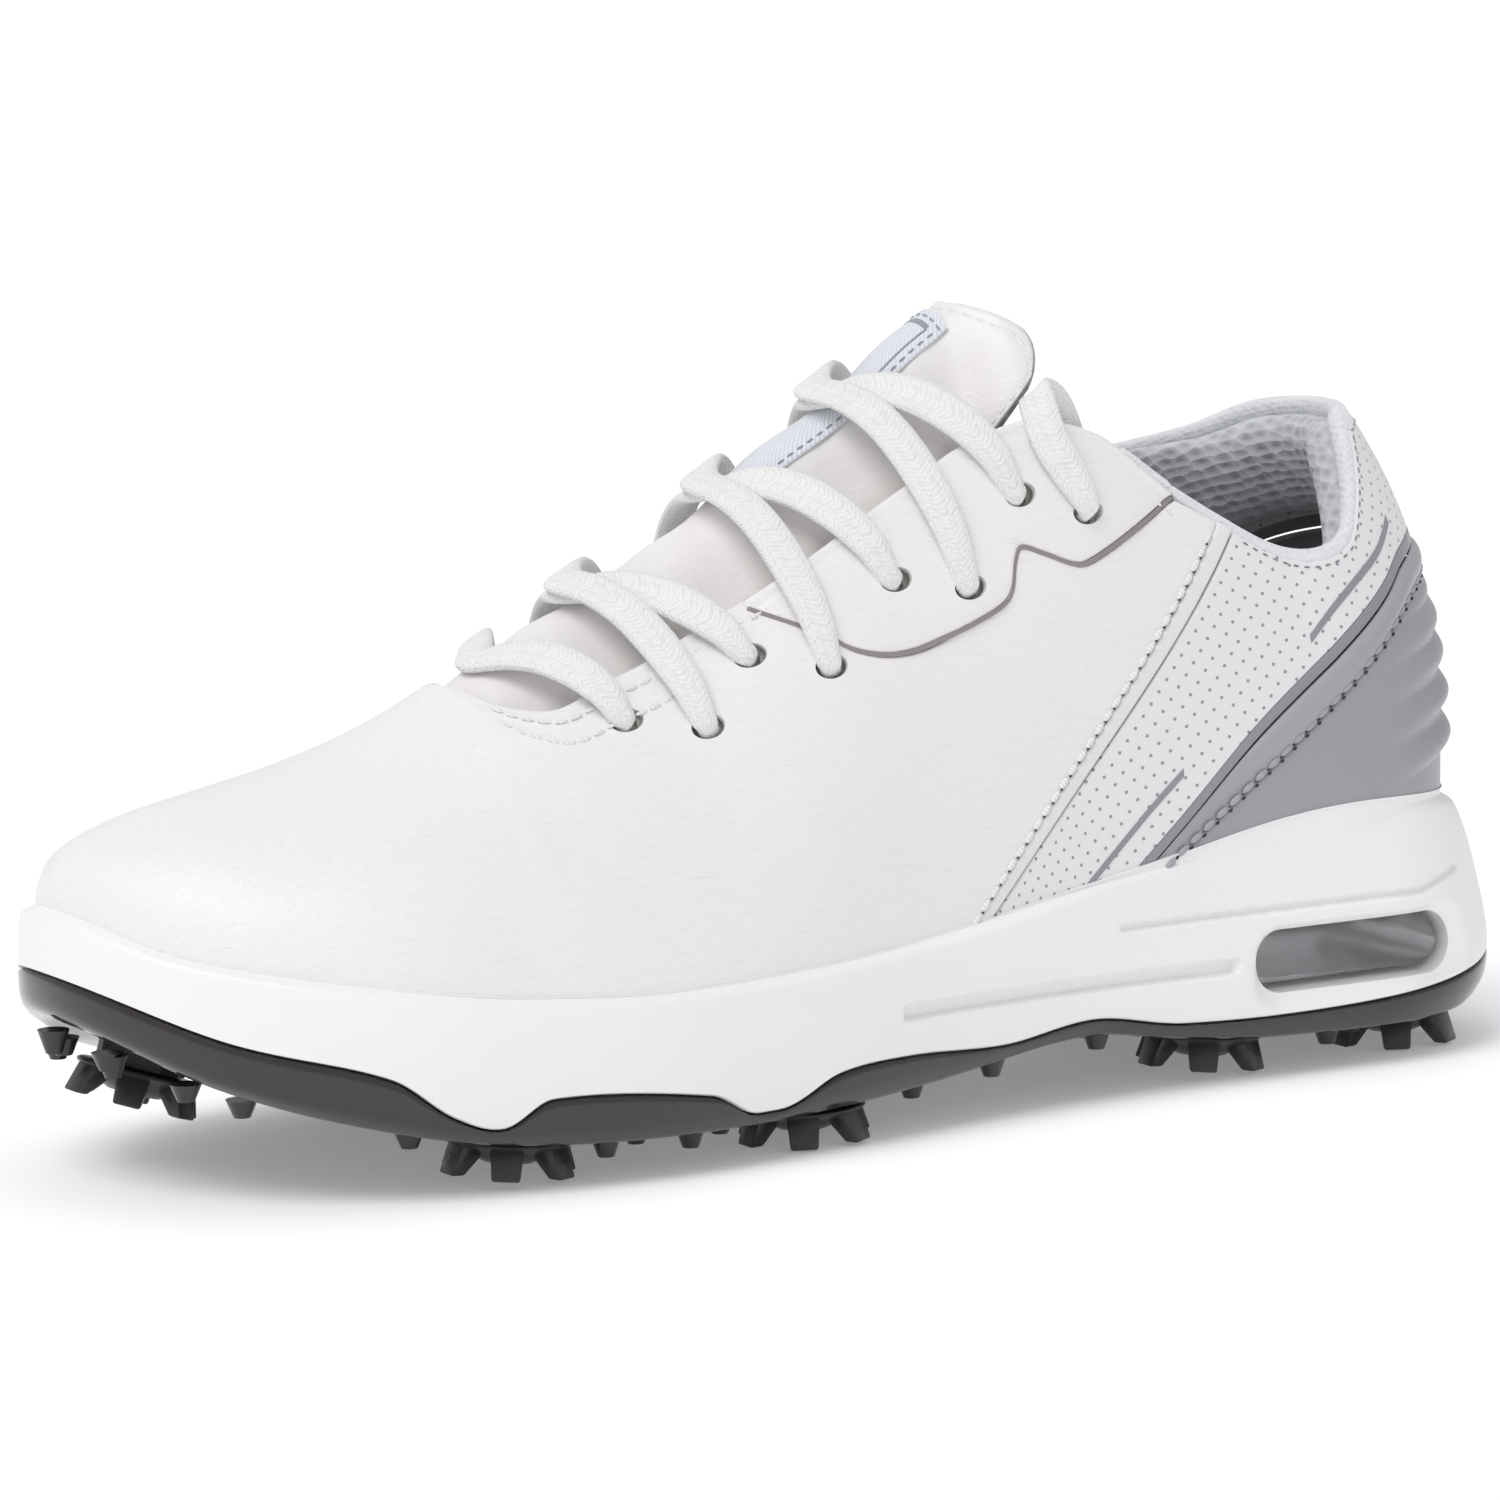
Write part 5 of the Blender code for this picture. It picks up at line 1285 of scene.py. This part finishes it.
lace_line = curve_through(one_way(lace_knots()), 1900)
softer = softened(lace_line, 60)
softest = softened(softer, 180)
near_ridge = (1 - ramp(np.abs(lace_line[:, 1]), 6, 16))[:, None]
on_top = (1 - ramp(np.abs(lace_line[:, 1]), 8, 22))[:, None]
lace_line[:, 3:6] = lace_line[:, 3:6] * (1 - on_top) + softest[:, 3:6] * on_top
lace_line[:, :3] = lace_line[:, :3] * (1 - near_ridge) + softer[:, :3] * near_ridge
lace_path, lace_across = lace_line[:, :3], lace_line[:, 3:6]
heading = np.gradient(lace_path, axis=0)
heading /= np.linalg.norm(heading, axis=1)[:, None]
lace_across = lace_across - heading * np.sum(lace_across * heading, axis=1)[:, None]
lace_normals = np.cross(heading, lace_across)
lace = tube("flat_knitted_lace", lace_path, lace_normals, lace_line[:, 6], LACE_KNIT, sides=20,
            flatten=lace_line[:, 7] / lace_line[:, 6], replaced=("lace",), rounded=2.6)
length = float(np.sum(np.linalg.norm(np.diff(lace_path, axis=0), axis=1)))
print("lace", round(length), "mm long;", len(lace.data.polygons), "faces")

# %% [markdown]
# Each end of the lace is rolled tight in clear film. A tube with a few rings gives its rounded ends.

# %% Lace tips
for side in (LATERAL, MEDIAL):
    end, before = [spot(p, side, depth) for p, depth in LACE_TAIL[:-3:-1]]
    along = (end - before) / np.linalg.norm(end - before)
    steps = np.array([0.2, 0.5, 1.4, 12, 20.5, 21.6, 22.0])[:, None]
    tip_path = end + along * steps
    tube(f"aglet_rolled_{side_name(side)}", tip_path, np.tile(facing(80, 0.4, side), (len(steps), 1)),
         [1.3, 1.65, 1.75, 1.75, 1.75, 1.6, 1.2], AGLET_FILM, sides=20,
         replaced=(f"aglet_{side_name(side)}",))
print("lace tips are 22 mm long")

# %% [markdown]
# ## Collar and linings
# The collar is a foam roll under knit. Along the sides it is a slim rim above the leather; round the heel
# it is a thick pad. A row of fine stitches fixes it under the leather's edge.

# %% Collar


def opening_top(x, side):
    """Height of the leather's edge round the opening."""
    front = np.where(side < 0, np.interp(x, (60, 69), (117, 110)), np.interp(x, (60, 69), (118, 113)))
    edge = np.where(side < 0, smooth(COLLAR[LATERAL], x), smooth(COLLAR[MEDIAL], x))
    return np.where(x > 69, edge, front)


def collar_ring(x, side, half_thick, half_tall, drop, angle, near=1.5):
    """Points of a rounded section that stands just inside the opening's edge."""
    cos, sin = np.cos(angle), np.sin(angle)
    cos, sin = np.sign(cos) * np.abs(cos) ** 0.85, np.sign(sin) * np.abs(sin) ** 0.85
    top = opening_top(x, side)
    z = top - drop + half_tall * sin
    low = np.minimum(z, top + 2.5)
    points = lay(x, theta_at(x, low), side, near + half_thick * (1 + cos))
    points[..., 2] += z - low
    return points


def collar_roll(name, front, half_thick, half_tall, drop, finish, near=1.5, rows=40, replaced=()):
    """A closed roll round the opening, which tapers to its two front ends."""
    x, _, side = (column[:, None] for column in round_heel(front, lambda x: 0 * x, 180).T)
    angle = np.linspace(0, 2 * math.pi, rows)[None]
    closing = np.minimum(1, 0.03 + np.sqrt(np.clip((x - front) / 5, 0, 1)))
    thick, tall = half_thick(x) * closing, half_tall(x) * closing
    points = collar_ring(x + 0 * angle, side + 0 * angle, thick + 0 * angle, tall + 0 * angle,
                         drop(x) + 0 * angle, angle + 0 * x, near)
    lengths = distance_along(points[:, 0])
    piece = from_grid(name, points, np.stack(np.broadcast_arrays(lengths[:, None], angle * 8), -1))
    weld(piece)
    face_outwards(piece)
    dress(piece, finish, replaced, angle=80)


collar_roll("collar_padded_roll", 60, lambda x: 2.3 + 2.6 * ramp(x, 92, 122), lambda x: 9.5 + 0 * x,
            lambda x: 8.2 + 0 * x, COLLAR_MESH, replaced=("collar_padding",))
collar_roll("collar_knit_rim", 58, lambda x: 1.25 + 0.5 * ramp(x, 100, 125),
            lambda x: 1.7 + 0.6 * ramp(x, 100, 125), lambda x: -0.4 + 0 * x, COLLAR_KNIT, 0.2, rows=20)
for side in (LATERAL, MEDIAL):
    x = np.linspace(SEAM_HEAD + 4, LAST_HEEL - 0.5, 200)
    line = on_last(x, theta_at(x, opening_top(x, side) - 1.5), side)
    stitch_line(f"collar_stitches_{side_name(side)}", line, GREY_THREAD, "collar_knit", 2.4, (1.3, 0.4, 0.3), 0.0)

# %% [markdown]
# A mesh lining covers the inside of the heel. The sockliner is a dished foam sole that lies loose in the
# cup; it is built from rings round the last's outline, closed by a line along the middle.

# %% Linings and sockliner


def lining_top(x):
    """The theta of the lining's upper edge, well below the collar."""
    top = np.minimum(84 + (x - 22) * 0.05, np.minimum(smooth(COLLAR[LATERAL], x), smooth(COLLAR[MEDIAL], x)) - 16)
    return theta_at(x, top)


panel("quarter_mesh_lining", round_heel(22, lambda x: TUCK + 0 * x), round_heel(22, lining_top), (200, 40),
      MESH_LINING, "mesh_lining", ("quarter_lining",), 3.4, 0.8, ())


def outline(turn, toe=TOE, heel=HEEL, half=SOLE_HALF, grow=0.0):
    """Points of the sole's outline: turn 0 is the heel, 0.5 the toe, lateral side first."""
    turn = np.asarray(turn, float)
    side = np.where(turn <= 0.5, LATERAL, MEDIAL)
    x = (toe + heel) / 2 + (heel - toe) / 2 * np.cos(2 * math.pi * turn)
    width = np.where(side < 0, smooth(half[LATERAL], x), smooth(half[MEDIAL], x))
    y = smooth(CENTRE_LINE, x) + side * width * end_round(x, toe, heel)
    if np.any(grow):
        nx, ny = inward(turn, toe, heel, half)
        x, y = x - nx * grow, y - ny * grow
    return x, y


def inward(turn, toe=TOE, heel=HEEL, half=SOLE_HALF):
    """Unit normal of the outline, pointing into the shoe."""
    x0, y0 = outline((turn - 0.0015) % 1.0, toe, heel, half)
    x1, y1 = outline((turn + 0.0015) % 1.0, toe, heel, half)
    length = np.hypot(x1 - x0, y1 - y0)
    return (y1 - y0) / length, -(x1 - x0) / length


def in_cup(turn, grow, height):
    """A ring inside the cup: the last's outline, moved in, at a height(x)."""
    x, y = outline(turn, LAST_TOE, LAST_HEEL, LAST_HALF, grow)
    return np.stack([x, y, height(x)], -1)


def on_spine(turn, height):
    """A ring drawn together on the sole's middle line, which closes a body."""
    x = np.clip(outline(turn)[0], TOE + 42, HEEL - 34)
    return np.stack([x, smooth(CENTRE_LINE, x), height(x)], -1)


def sole_piece(name, rings, finish, replaced=(), angle=50):
    """A closed body from rings that run round the outline; the first and last rings lie on the spine."""
    points = np.stack(rings, 1)
    run = distance_along(points[:, len(rings) // 2])
    rise = np.concatenate([np.zeros((len(points), 1)),
                           np.cumsum(np.linalg.norm(np.diff(points, axis=1), axis=2), axis=1)], 1)
    piece = from_grid(name, points, np.stack([run[:, None] + 0 * rise, rise], -1))
    weld(piece, 0.01)
    face_outwards(piece)
    return dress(piece, finish, replaced, angle=angle)


turns = np.linspace(0, 1, 241)
liner = []
for grow, rise in ((None, 4.1), (-4.9, 4.1), (-4.75, 4.4), (-4.7, 7.6), (-4.8, 9.2), (-5.6, 9.6), (-8, 9.0),
                   (-13, 8.4), (-20, 8.2), (None, 8.2)):
    height = (lambda r: lambda x: smooth(CUP_FLOOR, x) + r)(rise)
    liner.append(on_spine(turns, height) if grow is None else in_cup(turns, grow, height))
sole_piece("sockliner_dished", liner, SOCK_FABRIC, ("sockliner",))
print("collar and linings made")

# %% [markdown]
# ## The midsole
# The wall is one dense skin round the outline. Its moulded details are offsets of that skin: the groove
# high on the heel, the long slot on each side, and the soft hollow round the window.

# %% Midsole
WINDOW_X, WINDOW_Z = (76.0, 121.0), (16.0, 27.8)
WINDOW_ROUND = (WINDOW_Z[1] - WINDOW_Z[0]) / 2
RUBBER_THICK = 1.9


def floor_height(x):
    """Underside of the midsole, just above the rubber's floor."""
    return smooth(GROUND_SIDE, x) + RUBBER_THICK + GAP


def rubber_edge(x):
    """Height of the rubber's wavy edge."""
    return np.maximum(smooth(RUBBER_EDGE, x), floor_height(x))


def from_segment(x, z, a, b):
    """Distance of (x, z) from a segment."""
    ax, az, bx, bz = *a, *b
    t = np.clip(((x - ax) * (bx - ax) + (z - az) * (bz - az)) / ((bx - ax) ** 2 + (bz - az) ** 2), 0, 1)
    return np.hypot(x - ax - t * (bx - ax), z - az - t * (bz - az))


def moulded_details(x, z):
    """Depth of the details in the wall, in millimetres."""
    groove = np.minimum(from_segment(x, z, (46.8, 32.1), (114, 32.0)), from_segment(x, z, (114, 32.0), (126, 34.6)))
    slot_line = from_segment(x, z, (-3.5, 23.1), (69.5, 22.4))
    notch = from_segment(x, z, (139.5, 24.2), (141.2, 24.0))
    middle = (WINDOW_Z[0] + WINDOW_Z[1]) / 2
    window = from_segment(x, z, (WINDOW_X[0] + WINDOW_ROUND, middle), (WINDOW_X[1] - WINDOW_ROUND, middle))
    out = window - WINDOW_ROUND
    wide = 1.6 + 3.2 * ramp(x, 112, 126) + 2.6 * ramp(middle - z, 0, 7)
    hollow = 2.4 * (1 - ramp(out, -0.5, wide))
    return (1.1 * (1 - ramp(groove, 0.4, 1.2)) + 1.9 * (1 - ramp(slot_line, 1.0, 1.9))
            + 1.0 * (1 - ramp(notch, 0.5, 1.2)) + hollow)


def sole_wall(turn, height, extra=0.0):
    """The sole's outer wall at a height, with its flare and its moulded details."""
    x, y = outline(turn)
    z = height(x)
    low, high = smooth(GROUND_SIDE, x), smooth(LIP, x)
    part = (z - low) / (high - low)
    flare = ramp(x, 20, 110)
    inset = (1 - flare) * smooth(SIDE_INSET, part) + flare * smooth(HEEL_INSET, part) + extra
    nx, ny = inward(turn)
    return np.stack([x + nx * inset, y + ny * inset, z], -1)


def lip_height(x):
    """Height of the midsole's upper edge."""
    return smooth(LIP, x)


def between(f, shift=0.0):
    """A height that is a part f of the way from the rubber's edge to the lip."""
    return lambda x: rubber_edge(x) + GAP + (lip_height(x) - rubber_edge(x) - GAP) * f + shift


turns = np.linspace(0, 1, 841)
x_round = outline(turns)[0]
inner_x, inner_y = outline(turns, grow=-6.8)
rings = [on_spine(turns, floor_height), np.stack([inner_x, inner_y, floor_height(x_round)], -1),
         np.stack([inner_x, inner_y, between(0)(x_round)], -1), sole_wall(turns, between(0), 0.6),
         sole_wall(turns, between(0, 0.3), 0.15)]
for f in np.linspace(0.02, 0.985, 78):
    height = between(f)
    facet = 1.0 * float(ramp(f, 0.925, 0.985))
    detail = moulded_details(x_round, height(x_round))
    fade = 1 - ramp(f, 0.9, 0.93)
    rings.append(sole_wall(turns, height, detail * fade + facet))
rings += [sole_wall(turns, between(1, -0.12), 1.3), sole_wall(turns, lip_height, 1.75)]
rings += [in_cup(turns, 0.5, lip_height), in_cup(turns, 0.2, lambda x: lip_height(x) - 0.35),
          in_cup(turns, 0.2, lambda x: smooth(CUP_FLOOR, x)), on_spine(turns, lambda x: smooth(CUP_FLOOR, x))]
midsole = sole_piece("midsole_injected", rings, MIDSOLE_FOAM, ("midsole",), 40)
print("midsole has", len(midsole.data.polygons), "faces")

# %% [markdown]
# A rounded bar is cut right through the heel of the foam, and a slightly smaller clear bag fills the hole.

# %% Window and air cushion


def window_bar(radius_less, half_length):
    """A long rounded bar across the shoe, from a cylinder whose halves are drawn apart."""
    radius = WINDOW_ROUND - radius_less
    bpy.ops.mesh.primitive_cylinder_add(vertices=64, radius=radius * MM, depth=2 * half_length * MM,
                                        rotation=(math.pi / 2, 0, 0))
    bar = bpy.context.object
    bpy.ops.object.transform_apply(location=False, rotation=True, scale=False)
    points = np.empty(len(bar.data.vertices) * 3)
    bar.data.vertices.foreach_get("co", points)
    points = points.reshape(-1, 3)
    reach = (WINDOW_X[1] - WINDOW_X[0]) / 2 - WINDOW_ROUND
    points[:, 0] += np.where(points[:, 0] > 1e-6, reach, -reach) * MM
    points += np.array([(sum(WINDOW_X) / 2 - MIDDLE), 0, sum(WINDOW_Z) / 2]) * MM
    bar.data.vertices.foreach_set("co", points.ravel())
    bar.data.update()
    return bar


cut(midsole, window_bar(0, 70))
cushion = window_bar(0.8, 33.5)
cushion.name = cushion.data.name = "air_cushion_film"
apply_modifier(cushion, "BEVEL", width=1.6 * MM, segments=4, limit_method="ANGLE")
dress(cushion, AIR_FILM, ("air_cushion",))
print("window cut; midsole has", len(midsole.data.polygons), "faces")

# %% [markdown]
# ## The outsole and its tread
# A thin rubber tray wraps up round the midsole with a wavy edge. Small cones stand on its underside between
# the cleats. Its pattern is a plain staggered one.

# %% Outsole
turns = np.linspace(0, 1, 601)
x_round = outline(turns)[0]


def ground(x):
    """Height of the sole's underside."""
    return smooth(GROUND_SIDE, x)


def rubber_between(f):
    """A height that is a part f of the way up the rubber's wall."""
    return lambda x: ground(x) + (rubber_edge(x) - ground(x)) * f


near_x, near_y = outline(turns, grow=-9)
tray_x, tray_y = outline(turns, grow=-6.4)
corner_x, corner_y = outline(turns, grow=-5.4)
rings = [on_spine(turns, ground), np.stack([near_x, near_y, ground(x_round)], -1),
         np.stack([corner_x, corner_y, ground(x_round)], -1), sole_wall(turns, lambda x: ground(x) + 0.1, 0.9),
         sole_wall(turns, lambda x: ground(x) + 0.45, 0.3)]
for f in (0.2, 0.32, 0.44, 0.56, 0.68, 0.8):
    rings.append(sole_wall(turns, rubber_between(f), -0.25 * math.sin(math.pi * f)))
rings += [sole_wall(turns, lambda x: rubber_edge(x) - 0.5, -0.1),
          sole_wall(turns, lambda x: rubber_edge(x) - 0.1, 0.1), sole_wall(turns, rubber_edge, 0.55),
          np.stack([tray_x, tray_y, rubber_edge(x_round)], -1),
          np.stack([tray_x, tray_y, ground(x_round) + RUBBER_THICK], -1),
          on_spine(turns, lambda x: ground(x) + RUBBER_THICK)]
outsole = sole_piece("outsole_rubber_tray", rings, OUTSOLE_RUBBER, ("outsole",), 40)

# %% [markdown]
# A cleat is a turned flange and hub with six splayed legs. One is modelled and copied to each of the eight
# places, where it rides on its own body, and a pocket for its socket is cut in the rubber and the foam.

# %% Cleats
CLEATS = [
    ("toe_medial", -125, 18), ("ball_lateral", -78, -33), ("ball_medial", -68, 34), ("waist_lateral", -19, -34),
    ("heel_front_lateral", 75, -21), ("heel_front_medial", 77, 21), ("heel_rear_lateral", 120, -18),
    ("heel_rear_medial", 120, 18),
]
CLEAT_DROP = 6.78


def cleat_matrix(x, y):
    """A cleat's own frame: origin on the sole's underside, Z up along its thread."""
    slope = float(smooth(GROUND_SIDE, x + 6) - smooth(GROUND_SIDE, x - 6)) / 12
    tilt = Matrix.Rotation(-math.atan(slope), 4, "Y")
    return Matrix.Translation(Vector((x - MIDDLE, y, float(smooth(GROUND_SIDE, x)))) * MM) @ tilt


def turned(name, profile, steps=48):
    """A turned body from a profile of (radius, height), by spinning its line round Z."""
    points = np.array(profile, float)
    angle = np.linspace(0, 2 * math.pi, steps + 1)
    grid = np.stack([points[None, :, 0] * np.cos(angle)[:, None], points[None, :, 0] * np.sin(angle)[:, None],
                     points[None, :, 1] + 0 * angle[:, None]], -1)
    piece = from_grid(name, grid + (MIDDLE, 0, 0))
    weld(piece, 0.01)
    return piece


def blade(angle):
    """One splayed leg with a square end, from a cube whose corners are drawn out."""
    bpy.ops.mesh.primitive_cube_add(size=1)
    leg = bpy.context.object
    points = np.array([v.co[:] for v in leg.data.vertices])
    low = points[:, 2] < 0
    width = np.where(low, 5.0, 6.0)
    radial = np.where(low, 11.2, 7.4) + points[:, 0] * np.where(low, 2.6, 6.0)
    placed = np.stack([radial, points[:, 1] * width, np.where(low, -CLEAT_DROP, -0.9)], -1) * MM
    leg.data.vertices.foreach_set("co", placed.ravel())
    apply_modifier(leg, "BEVEL", width=0.45 * MM, segments=2)
    leg.rotation_euler = (0, 0, angle)
    bpy.ops.object.transform_apply(location=False, rotation=True, scale=False)
    return leg


body = turned("cleat_flange", [(0, 3.8), (3.3, 3.8), (3.4, 3.6), (3.4, -0.4), (10.6, -0.4), (11.2, -0.7),
                               (11.3, -1.1), (10.9, -1.5), (8.6, -2.3), (7.8, -3.4), (5.6, -4.4), (4.8, -4.8),
                               (2.2, -4.8), (1.9, -4.2), (0, -4.2)])
cleat = join("cleat_model", [body, *[blade(math.radians(60 * k)) for k in range(6)]])
face_outwards(cleat)
pockets = []
for label, x, y in CLEATS:
    copy = cleat.copy()
    copy.data = cleat.data.copy()
    copy.name = copy.data.name = f"cleat_screwed_{label}"
    scene.collection.objects.link(copy)
    copy.data.transform(cleat_matrix(x, y))
    dress(copy, CLEAT_PLASTIC, (f"cleat_{label}",), f"cleat_{label}", 35)
    bpy.ops.mesh.primitive_cylinder_add(vertices=32, radius=8.6 * MM, depth=10 * MM)
    pocket = bpy.context.object
    pocket.matrix_world = cleat_matrix(x, y) @ Matrix.Translation((0, 0, 1.0 * MM))
    pockets.append(pocket)
bpy.data.objects.remove(cleat)
pocket = join("socket_pockets", pockets)
for piece in (outsole, midsole):
    tool = pocket.copy()
    scene.collection.objects.link(tool)
    cut(piece, tool)
bpy.data.objects.remove(pocket)
print("cleats screwed in;", len(outsole.data.polygons), "faces on the outsole")

# %% [markdown]
# Small rubber cones stand in staggered rows between the cleats. One cone is copied to every place.

# %% Tread


def tread_places():
    """Staggered places on the underside, clear of the cleats and of the edge."""
    found = []
    for i, x in enumerate(np.arange(-141, 142, 8.5)):
        for y in np.arange(-48, 49, 9.0) + (i % 2) * 4.5:
            side = LATERAL if y < float(smooth(CENTRE_LINE, x)) else MEDIAL
            half = float(smooth(SOLE_HALF[side], x) * end_round(np.array(x), TOE, HEEL))
            inside = half - abs(y - float(smooth(CENTRE_LINE, x)))
            clear = min(math.hypot(x - cx, y - cy) for _, cx, cy in CLEATS)
            waist = 8 < x < 58
            if 6.5 < inside < (15 if not waist else 11) and clear > 15.5:
                found.append((x, y, 3.4 if inside < 11 else 2.6))
    return [*found, (-145.2, 10, 3.6), (-139, 22, 3.4), (-140, -3, 3.4), (141, 0, 3.2), (134, 11, 3.2),
            (134, -11, 3.2)]


bpy.ops.mesh.primitive_cone_add(vertices=12, radius1=2.9, radius2=1.5, depth=1)
cone = bpy.context.object
cone_points = np.array([v.co[:] for v in cone.data.vertices])
cone_faces = [tuple(p.vertices) for p in cone.data.polygons]
bpy.data.objects.remove(cone)
points, faces = [], []
for x, y, tall in tread_places():
    shape = cone_points * (1, 1, -(tall + 0.6)) + (x, y, float(smooth(GROUND_SIDE, x)) - tall / 2 + 0.3)
    faces += [tuple(k + len(points) * len(cone_points) for k in face[::-1]) for face in cone_faces]
    points.append(shape)
thread_piece("tread_cones", points, faces, OUTSOLE_RUBBER, "outsole_rubber")
print(len(points), "tread cones")

# %% [markdown]
# ## Hidden pieces
# What lies inside keeps its CAD shape and gets the finish of its real material.

# %% Finishes for the hidden pieces
HIDDEN = {
    "vamp_lining": (MESH_LINING, "mesh_lining"), "toe_puff": (BOARD, "stiffener_board"),
    "heel_stiffener": (BOARD, "stiffener_board"), "insole_board": (BOARD, "insole_board"),
    "shank": (NYLON, "shank_nylon"),
    "foam_backing_lateral": (SOFT_FOAM, "foam"), "foam_backing_medial": (SOFT_FOAM, "foam"),
    "eyelet_strip_lateral": (TAPE, "backing_tape"), "eyelet_strip_medial": (TAPE, "backing_tape"),
    **{f"cleat_socket_{label}": (NYLON, "socket_nylon") for label, _, _ in CLEATS},
}
for name, (finish, slot) in HIDDEN.items():
    NODES[name].data.materials.clear()
    NODES[name].data.materials.append(finish)

bpy.ops.object.select_all(action="DESELECT")
print(len(HIDDEN), "hidden pieces finished")
